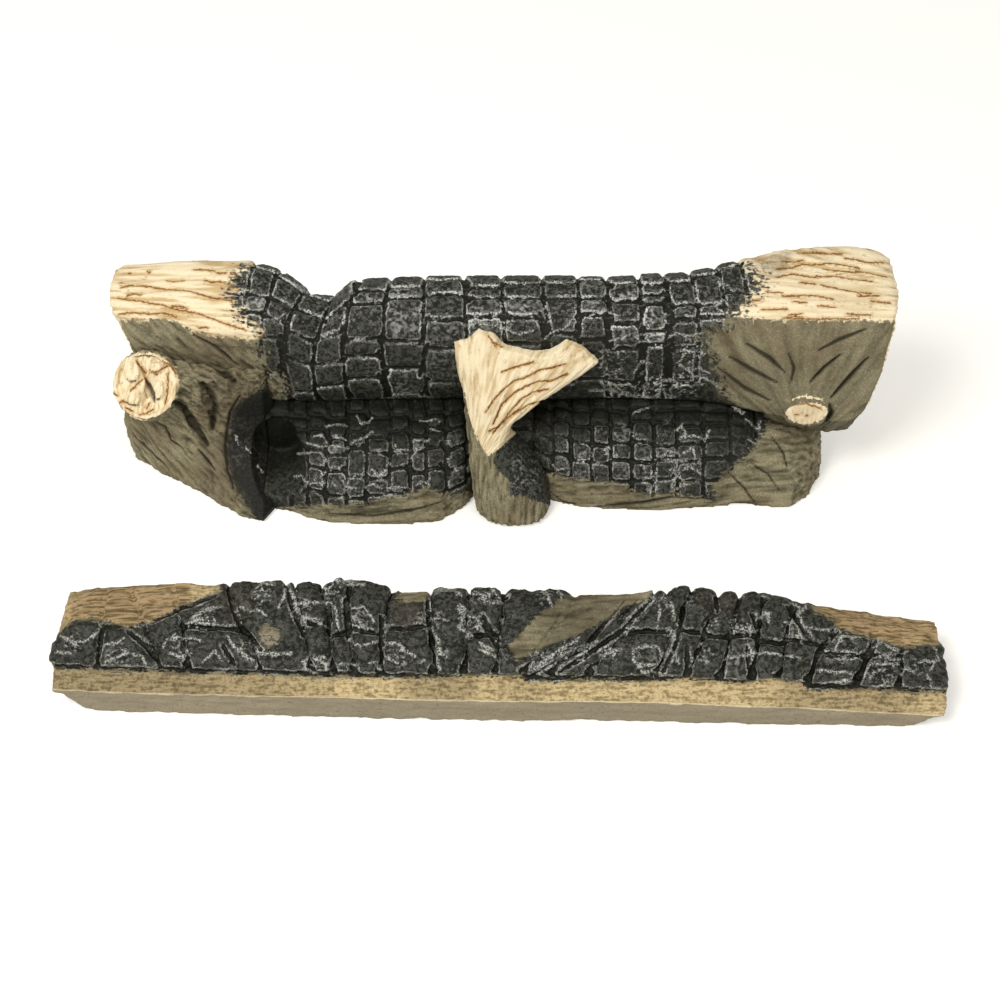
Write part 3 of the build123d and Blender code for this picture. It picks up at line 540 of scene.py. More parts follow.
def refractory_paint(name):
    """Ceramic-fibre refractory, cast and hand painted: four coats, matt to satin.

    Char is black stain with silver dry-brushed over the block rims. Split wood is
    cream with brown worked into the grain. Bark is olive grey, and what is left
    bare is tan.
    """
    paint = bpy.data.materials.new(name)
    paint.use_nodes = True
    tree = paint.node_tree
    tree.nodes.clear()
    place = add(tree, "ShaderNodeTexCoord").outputs["Object"]
    mm = add(tree, "ShaderNodeVectorMath", {"operation": "SCALE"}, {0: place, "Scale": 1 / MM})
    read = {}
    for label in mark_names:
        read[label] = add(tree, "ShaderNodeAttribute", {"attribute_name": label}).outputs["Fac"]
    grain = add(tree, "ShaderNodeAttribute", {"attribute_name": "grain_mm"}).outputs["Vector"]

    # Noise at four sizes: 1 mm grit, 2.5 mm mottling, 7 mm patches, 30 mm clouds
    grit, mottle, patch, cloud = [
        add(
            tree, "ShaderNodeTexNoise", {},
            {"Vector": mm, "Scale": scale, "Detail": detail, "Roughness": roughness},
        )
        for scale, detail, roughness in (
            (0.95, 2.0, 0.6), (0.4, 3.0, 0.6), (0.14, 2.0, 0.5), (0.033, 2.0, 0.5),
        )
    ]
    # Noise drawn out along the grain: 1.6 mm lines, 5 mm bands and short dashes
    drawn = []
    for squeeze, detail, roughness, bend in (
        ((0.05, 0.62, 0.62), 2.0, 0.55, 0.25),
        ((0.03, 0.2, 0.2), 3.0, 0.6, 0.4),
        ((0.14, 0.6, 0.6), 2.0, 0.55, 0.0),
    ):
        along = add(tree, "ShaderNodeVectorMath", {"operation": "MULTIPLY"}, {0: grain, 1: squeeze})
        drawn.append(add(
            tree, "ShaderNodeTexNoise", {},
            {"Vector": along, "Scale": 1.0, "Detail": detail, "Roughness": roughness, "Distortion": bend},
        ))
    lines, bands, dashes = drawn

    # Drawn lines wander a little: the signed distance places them, the plain one ends them
    for label, sway in (("vein_mm", 2.2), ("glint_mm", 4.0)):
        both = add(tree, "ShaderNodeAttribute", {"attribute_name": label}).outputs["Vector"]
        both = add(tree, "ShaderNodeSeparateXYZ", {}, {0: both}).outputs
        signed = add(tree, *times_plus, {0: mottle, 1: sway, 2: both["X"]})
        signed = add(tree, *minus, {0: signed, 1: 0.5 * sway})
        signed = add(tree, *unsigned, {0: signed})
        plain = add(tree, *minus, {0: both["Y"], 1: 0.9})
        read[label] = add(tree, *larger, {0: signed, 1: plain})

    # Char: olive black in the checks, mottled charcoal on the blocks, uneven at their edges
    edge = add(tree, *times_plus, {0: mottle, 1: 3.0, 2: read["edge_mm"]})
    edge = add(tree, *minus, {0: edge, 1: 1.5})
    block_top = add(tree, *smooth_ramp, {0: edge, 1: 1.0, 2: 2.0, 3: 0.0, 4: 1.0})
    char_grey = add(tree, *smooth_ramp, {0: mottle, 1: 0.40, 2: 0.70, 3: 0.0, 4: 1.0})
    char_top = add(tree, *mix, {0: char_grey, 6: linear("1b1c17"), 7: linear("44463f")})
    char = add(tree, *mix, {0: block_top, 6: linear("16170f"), 7: char_top})
    # Silver on the rims, just inside the checks, broken up by the grit
    rim_in = add(tree, *smooth_ramp, {0: edge, 1: 1.4, 2: 1.9, 3: 0.0, 4: 1.0})
    rim_out = add(tree, *smooth_ramp, {0: edge, 1: 2.3, 2: 3.1, 3: 1.0, 4: 0.0})
    rim = add(tree, *times, {0: rim_in, 1: rim_out})
    broken = add(tree, *smooth_ramp, {0: grit, 1: 0.38, 2: 0.56, 3: 0.0, 4: 1.0})
    spread = add(tree, *smooth_ramp, {0: patch, 1: 0.38, 2: 0.56, 3: 0.3, 4: 1.0})
    dry = add(tree, *times, {0: rim, 1: broken})
    own = add(tree, *ramp, {0: read["cell"], 1: 0.0, 2: 1.0, 3: 0.45, 4: 1.3})
    dry = add(tree, *times, {0: dry, 1: own})
    # A haze of silver over the best brushed blocks, scratches on all of them, and
    # flecks where the silver mark is high
    haze = add(tree, *smooth_ramp, {0: read["cell"], 1: 0.45, 2: 0.95, 3: 0.0, 4: 0.5})
    haze = add(tree, *times, {0: haze, 1: char_grey})
    haze = add(tree, *times, {0: haze, 1: block_top})
    dry = add(tree, *larger, {0: dry, 1: haze})
    scratch = add(tree, *minus, {0: mottle, 1: 0.53})
    scratch = add(tree, *unsigned, {0: scratch})
    scratch = add(tree, *smooth_ramp, {0: scratch, 1: 0.0, 2: 0.025, 3: 0.28, 4: 0.0})
    scratch = add(tree, *times, {0: scratch, 1: block_top})
    scratch = add(tree, *times, {0: scratch, 1: broken})
    dry = add(tree, *larger, {0: dry, 1: scratch})
    brushed = add(tree, *ramp, {0: read["silver"], 1: 1.2, 2: 1.8, 3: 0.0, 4: 0.9})
    fleck = add(tree, *smooth_ramp, {0: mottle, 1: 0.54, 2: 0.62, 3: 0.0, 4: 1.0})
    fleck = add(tree, *times, {0: fleck, 1: broken})
    brushed = add(tree, *times, {0: brushed, 1: fleck})
    dry = add(tree, *larger, {0: dry, 1: brushed})
    dry = add(tree, *times, {0: dry, 1: spread})
    lively = add(tree, *ramp, {0: read["calm"], 1: 0.0, 2: 1.0, 3: 1.0, 4: 0.3})
    dry = add(tree, *times, {0: dry, 1: lively})
    dry = add(
        tree, "ShaderNodeMath", {"operation": "MULTIPLY", "use_clamp": True}, {0: dry, 1: read["silver"]},
    )
    char = add(tree, *mix, {0: dry, 6: char, 7: linear("cfd1cd")})

    # Bark: olive grey, darker in the furrows, speckled on the ridges
    furrow = add(tree, *times_plus, {0: bands, 1: 2.0, 2: read["furrow"]})
    furrow = add(tree, *minus, {0: furrow, 1: 1.0})
    furrow = add(tree, *times_plus, {0: furrow, 1: lively, 2: 0.5})
    furrow = add(tree, *plus, {0: furrow, 1: mottle})
    furrow = add(tree, *smooth_ramp, {0: furrow, 1: -0.2, 2: 1.8, 3: 0.0, 4: 1.0})
    bark = add(tree, *mix, {0: furrow, 6: linear("454231"), 7: linear("8f876c")})
    speck = add(tree, *smooth_ramp, {0: grit, 1: 0.50, 2: 0.68, 3: 0.0, 4: 0.55})
    speck = add(tree, *times, {0: speck, 1: furrow})
    bark = add(tree, *mix, {0: speck, 6: bark, 7: linear("b5b19b")})
    brown = add(tree, *smooth_ramp, {0: cloud, 1: 0.45, 2: 0.62, 3: 0.0, 4: 0.3})
    bark = add(tree, *mix, {0: brown, 6: bark, 7: linear("5e4c36")})

    # Split wood: cream, ochre in the hollows, brown worked into the drawn grain lines
    hollow = add(tree, *times_plus, {0: bands, 1: 1.6, 2: read["ridge"]})
    ochre = add(tree, *smooth_ramp, {0: hollow, 1: 0.0, 2: 1.2, 3: 1.0, 4: 0.0})
    ochre = add(tree, *times, {0: ochre, 1: lively})
    wood = add(tree, *mix, {0: ochre, 6: linear("f5e6c5"), 7: linear("ceb283")})
    away = add(tree, *minus, {0: lines, 1: 0.5})
    away = add(tree, *unsigned, {0: away})
    fine = add(tree, *smooth_ramp, {0: away, 1: 0.006, 2: 0.034, 3: 0.5, 4: 0.0})
    fine_break = add(tree, *smooth_ramp, {0: bands, 1: 0.40, 2: 0.52, 3: 1.0, 4: 0.0})
    fine = add(tree, *times, {0: fine, 1: fine_break})
    fine = add(tree, *times, {0: fine, 1: lively})
    vein_edge = add(tree, *times_plus, {0: grit, 1: 1.6, 2: read["vein_mm"]})
    halo = add(tree, *smooth_ramp, {0: vein_edge, 1: 1.2, 2: 2.8, 3: 0.6, 4: 0.0})
    wood = add(tree, *mix, {0: halo, 6: wood, 7: linear("cfa66c")})
    vein = add(tree, *smooth_ramp, {0: vein_edge, 1: 0.9, 2: 1.6, 3: 0.95, 4: 0.0})
    vein = add(tree, *larger, {0: vein, 1: fine})
    wood = add(tree, *mix, {0: vein, 6: wood, 7: linear("7a5222")})
    fleck = add(tree, *smooth_ramp, {0: grit, 1: 0.70, 2: 0.76, 3: 0.0, 4: 0.6})
    wood = add(tree, *mix, {0: fleck, 6: wood, 7: linear("b98a4c")})

    # Bare refractory: grey tan faces, a lighter speckled shelf, and rough split patches
    face = add(tree, *mix, {0: bands, 6: linear("807767"), 7: linear("a49a83")})
    streaky = add(tree, *plus, {0: dashes, 1: mottle})
    streaky = add(tree, *smooth_ramp, {0: streaky, 1: 0.75, 2: 1.2, 3: 0.0, 4: 1.0})
    shelf = add(tree, *mix, {0: streaky, 6: linear("877653"), 7: linear("d1bc90")})
    bare = add(tree, *mix, {0: read["shelf"], 6: face, 7: shelf})
    tear = add(tree, *smooth_ramp, {0: lines, 1: 0.34, 2: 0.62, 3: 0.0, 4: 1.0})
    torn = add(tree, *mix, {0: tear, 6: linear("6a5839"), 7: linear("b59c76")})
    bare = add(tree, *mix, {0: read["split"], 6: bare, 7: torn})
    # A painted highlight along the rounded edge between shelf and face
    shelf_edge_highlight = add(tree, *minus, {0: 1.0, 1: read["shelf"]})
    shelf_edge_highlight = add(tree, *times, {0: shelf_edge_highlight, 1: read["shelf"]})
    shelf_edge_highlight = add(tree, *smooth_ramp, {0: shelf_edge_highlight, 1: 0.06, 2: 0.22, 3: 0.0, 4: 0.9})
    bare = add(tree, *mix, {0: shelf_edge_highlight, 6: bare, 7: linear("dccdaa")})
    bare_speck = add(tree, *smooth_ramp, {0: grit, 1: 0.58, 2: 0.70, 3: 0.0, 4: 0.6})
    bare = add(tree, *mix, {0: bare_speck, 6: bare, 7: linear("6e5738")})

    # Borders between the coats, feathered in dashes along the grain
    coats = bark
    for weight, coat, soft in (
        (read["bare"], bare, 0.06), (read["wood"], wood, 0.06), (read["char"], char, 0.2),
    ):
        ragged = add(tree, *plus, {0: dashes, 1: mottle})
        ragged = add(tree, *ramp, {0: ragged, 1: 0.75, 2: 1.25, 3: -0.45, 4: 0.45})
        ragged = add(tree, *plus, {0: weight, 1: ragged})
        ragged = add(tree, *smooth_ramp, {0: ragged, 1: 0.5 - soft, 2: 0.5 + soft, 3: 0.0, 4: 1.0})
        coats = add(tree, *mix, {0: ragged, 6: coats, 7: coat})

    # Rust-brown wash, black stain in the drawn cuts, soot and painted shade in the
    # recesses and under the upper log, and silver strokes over all of them: dry-brushed
    # silver and painted highlights, a little wider on the front log
    rust = add(tree, *times, {0: read["rust"], 1: mottle})
    coats = add(tree, *mix, {0: rust, 6: coats, 7: linear("54473a")})
    carve = add(tree, *smooth_ramp, {0: read["carve"], 1: 0.15, 2: 0.9, 3: 0.0, 4: 0.85})
    coats = add(tree, *mix, {0: carve, 6: coats, 7: linear("1f1b12")})
    # Silver strokes: dry-brushed silver and painted highlights, wider where the paint is glossy
    glint = add(tree, *times_plus, {0: read["gloss"], 1: -0.25, 2: read["glint_mm"]})
    glint = add(tree, *smooth_ramp, {0: glint, 1: 0.0, 2: 1.2, 3: 0.95, 4: 0.0})
    glint_breakup = add(tree, *smooth_ramp, {0: grit, 1: 0.42, 2: 0.58, 3: 0.05, 4: 0.9})
    glint = add(tree, *times, {0: glint, 1: glint_breakup})
    glint = add(tree, *times, {0: glint, 1: read["char"]})
    # Near black: soot on the front log, and painted shade under the upper log and in the hollows
    coats = add(tree, *mix, {0: read["soot_and_shade"], 6: coats, 7: linear("0e0f0b")})
    coats = add(tree, *mix, {0: glint, 6: coats, 7: linear("c3c5bf")})

    # The stain dries glossier than the cream and the bare clay, and the front log
    # is glossier all over
    rough = add(tree, *ramp, {0: read["char"], 1: 0.0, 2: 1.0, 3: 0.85, 4: 0.55})
    rough = add(tree, *times_plus, {0: read["gloss"], 1: -0.22, 2: rough})
    height = add(tree, *plus, {0: grit, 1: mottle})
    bump = add(tree, "ShaderNodeBump", {}, {"Strength": 1.0, "Distance": 0.35 * MM, "Height": height})
    surface = add(
        tree, "ShaderNodeBsdfPrincipled", {},
        {"Base Color": coats, "Roughness": rough, "IOR": 1.5, "Specular IOR Level": 0.2, "Normal": bump},
    )
    add(tree, "ShaderNodeOutputMaterial", {}, {"Surface": surface})
    return paint


def bright_steel(name, colour, roughness):
    """Drawn steel, its roughness varied by fine noise."""
    steel = bpy.data.materials.new(name)
    steel.use_nodes = True
    tree = steel.node_tree
    tree.nodes.clear()
    place = add(tree, "ShaderNodeTexCoord").outputs["Object"]
    drawn = add(tree, "ShaderNodeTexNoise", {}, {"Vector": place, "Scale": 900.0, "Detail": 2.0})
    rough = add(tree, *ramp, {0: drawn, 1: 0.3, 2: 0.7, 3: roughness - 0.08, 4: roughness + 0.1})
    surface = add(
        tree, "ShaderNodeBsdfPrincipled", {},
        {"Base Color": linear(colour), "Metallic": 1.0, "Roughness": rough},
    )
    add(tree, "ShaderNodeOutputMaterial", {}, {"Surface": surface})
    return steel


relief = relief_tree()

# Outlines in the photograph, in its pixels
left_wood_outline = [
    (105, 311), (108, 290), (112, 272), (126, 258), (158, 246), (215, 240), (257, 240), (252, 278),
    (248, 290), (248, 303), (256, 317), (262, 326), (266, 332), (259, 340), (234, 338), (194, 332),
    (182, 324), (163, 318), (134, 320), (115, 319),
]
right_wood_outline = [
    (738, 258), (769, 250), (788, 244), (825, 236), (880, 236), (905, 242), (912, 272), (910, 318),
    (890, 321), (788, 320), (726, 318), (736, 300), (746, 291), (748, 281), (740, 272),
]
upper_char_outline = [
    (247, 200), (244, 240), (240, 259), (236, 278), (230, 290), (232, 303), (240, 317), (250, 326),
    (260, 332), (260, 343), (263, 359), (268, 376), (285, 384), (270, 470), (760, 470), (748, 430),
    (744, 412), (726, 401), (719, 379), (714, 355), (706, 336), (720, 324), (741, 316), (750, 300),
    (760, 291), (762, 281), (755, 272), (748, 258), (752, 200),
]
lower_char_outline = [
    (215, 380), (226, 450), (233, 479), (249, 505), (262, 518), (270, 513), (284, 508), (326, 504),
    (364, 504), (400, 496), (428, 489), (453, 496), (475, 488), (500, 480), (552, 474), (571, 479),
    (610, 483), (644, 494), (677, 494), (701, 498), (717, 503), (714, 485), (733, 466), (752, 450),
    (766, 430), (770, 410), (760, 380),
]
hollow_outline = [
    (268, 376), (285, 384), (262, 390), (246, 399), (234, 408), (231, 431), (226, 450), (233, 479),
    (249, 505), (262, 524), (330, 520), (330, 376),
]
fork_char_outline = [
    (497, 448), (505, 440), (560, 398), (640, 340), (640, 440), (560, 500), (548, 505), (535, 500),
    (520, 495), (510, 496), (508, 480), (497, 468), (493, 462),
]
fork_wood_outline = [
    (440, 320), (640, 320), (600, 385), (560, 402), (520, 430), (498, 450), (488, 456), (478, 440),
    (470, 420), (466, 400), (455, 370), (448, 350),
]
knot_outline = [
    (784, 412), (787, 403), (795, 397), (806, 395), (818, 398), (827, 405), (828, 413), (820, 421),
    (806, 425), (793, 422),
]
stub_outline = [
    (111, 388), (113, 372), (122, 360), (136, 353), (150, 352), (165, 357), (176, 368), (179, 383),
    (176, 399), (167, 412), (153, 420), (138, 420), (123, 412), (114, 401),
]
front_char_outline = [
    (30, 667), (52, 667), (99, 670), (148, 671), (187, 674), (257, 674), (304, 676), (327, 677),
    (386, 677), (433, 677), (480, 675), (522, 675), (525, 681), (552, 681), (594, 680), (642, 681),
    (690, 678), (744, 683), (768, 678), (804, 683), (808, 690), (864, 689), (915, 692), (960, 692),
    (960, 640), (930, 647), (900, 647), (866, 638), (840, 630), (833, 622), (813, 613), (810, 550),
    (223, 550), (220, 592), (187, 604), (151, 622), (128, 628), (99, 620), (72, 622), (55, 640),
    (30, 645),
]
front_bark_outline = [
    (586, 588), (630, 580), (652, 588), (648, 600), (627, 606), (606, 620), (579, 635), (540, 650),
    (517, 660), (508, 646), (534, 620), (558, 602),
]
front_chunk_outline = [(396, 600), (400, 586), (410, 580), (424, 584), (430, 598), (420, 604)]
left_split_outline = [
    (66, 626), (70, 600), (100, 580), (190, 575), (190, 604), (151, 622), (128, 628), (99, 620),
]
right_split_outline = [
    (806, 606), (850, 600), (930, 605), (940, 640), (930, 650), (900, 650), (866, 640), (833, 624),
]

# Calm areas of the char, where the checks fade: across, down, radius, strength
upper_calm = (
    (600, 360, 34, 0.8), (690, 352, 40, 0.7), (625, 378, 26, 0.7), (705, 385, 30, 0.7),
    (282, 352, 26, 0.8), (455, 382, 26, 0.6), (300, 385, 22, 0.5), (560, 345, 26, 0.8),
    (815, 350, 110, 0.85), (770, 380, 50, 0.6),
)
lower_calm = ((262, 440, 50, 1.0), (735, 440, 30, 0.7), (545, 440, 24, 0.8))
# Where more silver is brushed on the char, given the same way
upper_silver = (
    (318, 354, 24, 1.2), (345, 374, 20, 1.2), (378, 366, 24, 1.2), (405, 388, 24, 1.3),
    (310, 382, 20, 1.1), (612, 360, 26, 1.7), (650, 386, 26, 1.8), (690, 382, 24, 1.8),
    (692, 350, 22, 1.7), (660, 338, 18, 1.8), (500, 326, 22, 1.5), (475, 322, 16, 1.4),
    (615, 384, 24, 1.7),
)
lower_silver = (
    (385, 450, 110, 0.6), (640, 450, 110, 0.5), (602, 433, 14, 1.4), (621, 431, 14, 1.4),
    (641, 431, 15, 1.4), (665, 431, 15, 1.2), (586, 453, 15, 1.2), (611, 453, 14, 1.4),
    (650, 466, 15, 1.4), (651, 485, 14, 1.3), (679, 485, 14, 1.3), (322, 482, 16, 1.2),
    (344, 470, 14, 1.2), (377, 478, 16, 1.2), (330, 445, 14, 1.0),
)
leg_silver = ((246, 452, 26, 1.1), (240, 430, 22, 0.9), (262, 470, 24, 0.9), (255, 490, 22, 0.6))
fork_silver = ((525, 470, 24, 0.9), (512, 484, 18, 0.8), (530, 488, 16, 0.7))
front_silver = (
    (662, 605, 12, 0.8), (627, 622, 12, 0.8), (690, 600, 10, 0.7), (710, 622, 14, 0.8),
    (735, 624, 12, 0.9), (748, 630, 10, 0.8), (608, 656, 15, 0.8), (647, 655, 18, 0.6),
    (705, 655, 14, 0.7), (730, 657, 14, 0.7), (563, 643, 12, 0.8), (545, 660, 12, 0.7),
    (582, 655, 12, 0.7), (840, 650, 26, 0.7), (880, 672, 22, 0.7), (790, 630, 16, 0.7),
    (430, 620, 22, 0.6), (468, 622, 16, 0.8), (480, 596, 16, 0.8), (330, 590, 18, 0.8),
    (300, 610, 18, 0.7), (262, 600, 16, 0.8), (205, 620, 18, 0.8), (180, 645, 18, 0.7),
    (118, 655, 18, 0.7), (75, 645, 14, 0.7), (250, 652, 18, 0.7), (320, 662, 16, 0.7),
    (400, 655, 18, 0.7), (362, 620, 16, 0.7), (440, 650, 14, 0.6), (500, 655, 14, 0.6),
    (545, 600, 14, 0.8), (915, 668, 14, 0.7),
)
# Soot on the front log, and dust on its shelf, given the same way
front_soot = ((575, 615, 60, 0.34), (130, 608, 80, 0.16), (845, 616, 46, 0.16))
shelf_dust = (
    (70, 684, 90, 0.45), (150, 684, 90, 0.45), (235, 684, 80, 0.35), (440, 682, 50, 0.35),
    (845, 696, 90, 0.3), (300, 684, 40, 0.2), (520, 684, 40, 0.15),
)

# Brown grain lines of the split wood
upper_veins = (
    (
        (118, 298), (127, 300), (140, 301), (150, 303), (162, 305), (171, 308), (178, 310), (190, 312),
        (203, 315), (212, 319), (218, 321), (226, 324), (237, 327), (246, 330),
    ),
    (
        (121, 288), (129, 286), (139, 286), (150, 287), (162, 289), (174, 290), (186, 291), (197, 294),
        (211, 297), (222, 299), (232, 301),
    ),
    ((127, 296), (134, 294), (141, 295)),
    ((120, 314), (128, 313), (139, 313), (150, 314), (160, 313), (168, 314), (176, 317)),
    ((167, 281), (175, 282), (184, 281)), ((205, 281), (213, 282), (221, 282)),
    ((194, 270), (203, 270), (215, 271)), ((217, 273), (226, 273)), ((231, 273), (235, 273)),
    ((172, 306), (183, 307), (189, 310)), ((199, 328), (208, 328)), ((223, 323), (229, 324)),
    ((239, 328), (244, 329)), ((230, 278), (235, 279)), ((234, 287), (241, 287)),
    ((229, 293), (239, 295)), ((232, 305), (243, 306)), ((148, 272), (150, 272)),
    ((128, 273), (130, 273)), ((120, 283), (122, 283)),
    ((845, 259), (856, 260), (867, 263), (883, 263)), ((799, 253), (813, 252), (827, 254), (842, 254)),
    ((782, 262), (793, 262), (803, 260)),
    ((777, 269), (791, 268), (804, 264), (824, 264), (841, 265), (859, 268)),
    ((823, 269), (835, 271), (852, 272), (869, 273), (878, 275), (886, 277)),
    ((777, 277), (793, 274), (813, 277), (835, 276), (856, 280), (872, 281)), ((800, 283), (815, 284)),
    ((821, 285), (830, 287), (842, 290), (856, 292), (872, 293)), ((767, 292), (782, 293)),
    ((783, 296), (797, 296), (818, 296), (833, 299)), ((858, 296), (879, 296)),
    ((793, 302), (806, 303)), ((818, 306), (835, 307)), ((753, 300), (760, 300)),
    ((871, 301), (885, 303), (890, 303)), ((762, 310), (777, 309), (787, 309)),
    ((789, 315), (802, 314)), ((847, 314), (871, 315)),
    ((783, 318), (813, 319), (835, 319), (858, 319)), ((868, 249), (879, 249)),
    ((796, 415), (798, 415)), ((806, 416), (808, 416)), ((792, 405), (806, 403), (821, 409)),
)
leg_veins = (
    ((152, 372), (158, 372), (163, 369), (167, 366)), ((168, 373), (168, 384), (167, 396), (165, 404)),
    ((163, 361), (171, 366), (175, 372)), ((131, 391), (137, 384), (142, 380)),
    ((119, 410), (119, 403), (123, 401), (127, 403)), ((126, 408), (132, 411)),
    ((140, 415), (147, 413), (153, 410)), ((147, 408), (150, 403)), ((113, 392), (117, 396)),
    ((137, 361), (142, 367), (145, 374), (147, 381)),
)
fork_veins = (
    ((486, 412), (493, 401), (502, 391), (514, 382), (529, 376), (541, 370), (552, 368), (566, 364)),
    ((493, 424), (502, 405), (514, 393), (525, 387), (539, 382), (552, 381), (567, 374)),
    ((489, 431), (499, 427), (510, 412), (522, 399), (533, 393), (548, 389)),
    ((493, 433), (502, 424), (514, 414), (529, 405), (543, 401)), ((502, 372), (518, 367), (533, 362)),
    ((495, 343), (502, 347)), ((489, 336), (495, 347)),
)
# Lines of silver on the char: dry-brushed silver, and painted highlights of the glossy paint
upper_glints = (
    ((590, 316), (596, 312), (608, 311), (618, 317)), ((545, 339), (552, 332), (564, 329), (573, 318)),
    ((636, 336), (648, 334), (663, 334), (663, 341), (640, 342), (636, 336)),
    ((660, 387), (663, 382), (673, 381), (678, 387)), ((634, 372), (642, 362), (652, 363)),
    ((606, 382), (615, 385), (621, 391), (629, 393)), ((590, 389), (610, 391), (634, 396), (657, 397)),
    ((610, 341), (621, 338), (631, 334)), ((466, 326), (479, 322), (487, 324), (502, 328)),
    ((502, 328), (518, 334), (533, 330)), ((670, 337), (675, 333), (688, 336), (703, 332)),
    ((680, 361), (686, 352), (695, 351), (705, 353)), ((677, 363), (690, 372), (699, 368), (710, 373)),
    ((658, 396), (662, 381), (670, 380), (681, 385)), ((661, 385), (666, 398), (675, 396)),
    ((695, 377), (705, 378), (714, 383), (721, 390)), ((707, 342), (714, 348), (723, 355), (736, 361)),
    ((246, 270), (249, 272)), ((251, 279), (256, 279)), ((242, 289), (254, 291)),
    ((241, 298), (248, 298)), ((256, 301), (259, 302)), ((242, 305), (246, 306)),
)
lower_glints = (
    ((296, 477), (303, 476), (307, 483), (324, 483)), ((321, 477), (325, 472)),
    ((331, 470), (333, 465), (339, 469)), ((342, 481), (347, 487), (355, 488)),
    ((333, 483), (336, 485)), ((347, 483), (355, 476)), ((372, 470), (379, 476), (387, 469)),
    ((366, 487), (373, 484), (381, 488)), ((357, 417), (361, 424), (369, 422), (372, 418)),
    ((326, 426), (336, 425), (346, 426)), ((307, 443), (318, 446), (326, 446)),
    ((314, 437), (322, 435), (326, 442)), ((333, 446), (347, 448)), ((333, 436), (346, 439)),
    ((351, 443), (362, 439), (372, 432)), ((395, 451), (409, 450)), ((396, 446), (398, 454)),
    ((414, 442), (429, 440)), ((417, 450), (424, 447)), ((420, 421), (439, 421)),
    ((431, 429), (439, 431)), ((388, 488), (405, 487)), ((384, 496), (395, 495)),
    ((417, 485), (422, 481), (429, 485)), ((299, 454), (321, 452), (326, 461)),
    ((633, 414), (648, 408)), ((663, 460), (678, 460)),
    ((644, 479), (657, 477), (655, 485), (648, 490)), ((671, 491), (673, 481), (679, 475), (684, 483)),
    ((552, 464), (558, 470), (568, 468)), ((675, 431), (681, 425), (686, 435), (679, 438)),
    ((681, 438), (694, 436), (705, 440), (709, 431)), ((662, 457), (668, 451), (677, 453)),
    ((666, 462), (675, 461), (677, 468), (670, 470)), ((684, 453), (692, 448), (695, 457)),
    ((684, 470), (690, 466), (701, 474)), ((733, 407), (744, 413)),
    ((745, 420), (758, 429), (760, 422)), ((749, 440), (758, 446), (751, 457), (746, 461)),
)
leg_glints = (((246, 448), (250, 453)), ((258, 466), (262, 472)), ((236, 436), (238, 444)))
front_glints = (
    ((62, 637), (75, 644), (90, 641), (99, 630)), ((58, 654), (71, 655)),
    ((100, 651), (106, 646), (117, 644), (125, 639)), ((106, 663), (117, 658), (128, 652)),
    ((134, 655), (143, 657), (146, 663)), ((135, 626), (149, 622)),
    ((165, 648), (169, 641), (178, 638), (193, 639), (200, 641)), ((172, 654), (181, 657), (191, 654)),
    ((188, 626), (195, 617), (207, 610), (222, 608)), ((198, 616), (216, 610)),
    ((204, 661), (213, 654)), ((216, 652), (223, 661)),
    ((228, 638), (232, 645), (239, 651), (251, 660)), ((242, 608), (251, 613), (259, 612), (266, 617)),
    ((261, 654), (275, 655), (292, 654)), ((279, 608), (285, 597), (285, 589)),
    ((256, 589), (263, 586), (275, 588)), ((294, 604), (310, 604), (323, 605)),
    ((295, 608), (304, 617), (316, 620), (326, 627)), ((335, 608), (338, 619), (339, 630)),
    ((354, 610), (363, 608), (374, 623)), ((352, 616), (366, 629)),
    ((349, 639), (360, 647), (377, 642)), ((341, 664), (358, 664)),
    ((303, 661), (307, 669), (313, 673)), ((316, 658), (325, 664), (329, 670)),
    ((369, 663), (377, 663), (380, 669)), ((385, 648), (389, 644), (399, 645), (405, 652), (415, 657)),
    ((386, 657), (396, 663)), ((418, 663), (424, 661)),
    ((433, 629), (439, 642), (440, 654), (446, 657)), ((458, 608), (462, 616), (459, 629), (471, 635)),
    ((459, 607), (471, 617), (481, 623), (477, 630)), ((436, 620), (448, 622)),
    ((438, 661), (440, 669)), ((471, 589), (480, 586), (493, 588)), ((473, 595), (486, 598)),
    ((480, 651), (495, 657)), ((329, 585), (351, 583), (363, 588)),
    ((436, 595), (451, 592), (462, 597)), ((204, 676), (216, 677)), ((272, 674), (289, 679)),
    ((382, 677), (402, 679)), ((480, 587), (492, 590), (498, 599)),
    ((481, 599), (495, 605), (507, 602)), ((540, 593), (547, 597), (552, 608)),
    ((544, 590), (558, 590)), ((553, 588), (561, 599), (562, 603)), ((480, 644), (492, 650)),
    ((529, 653), (534, 663), (529, 671)), ((534, 669), (549, 659), (567, 647), (579, 639)),
    ((538, 674), (558, 662), (582, 647), (597, 641)), ((561, 656), (573, 650)),
    ((601, 662), (612, 653), (621, 650)),
    ((633, 650), (642, 647), (657, 647), (660, 653), (657, 663), (643, 665), (634, 662), (633, 650)),
    ((636, 663), (642, 671), (654, 672)), ((672, 650), (676, 656), (678, 663)),
    ((667, 630), (675, 632), (675, 638)), ((672, 605), (673, 620)), ((660, 611), (657, 629)),
    ((687, 587), (696, 584), (708, 585)), ((741, 630), (750, 629), (751, 635)),
    ((784, 623), (793, 621), (798, 632), (804, 644)), ((798, 614), (805, 609)),
    ((810, 629), (825, 632), (835, 626)), ((835, 650), (840, 638), (870, 639), (861, 660), (834, 660)),
    ((748, 653), (768, 654), (798, 659)), ((819, 672), (852, 674)), ((819, 683), (852, 681)),
    ((864, 675), (870, 665), (900, 666), (912, 674)), ((873, 647), (882, 644), (891, 650), (906, 653)),
    ((870, 659), (879, 656), (900, 659)), ((918, 665), (924, 662), (933, 665), (930, 671)),
    ((927, 677), (930, 686)), ((933, 650), (937, 662)), ((723, 659), (747, 656)),
    ((759, 617), (768, 614), (768, 623)),
)
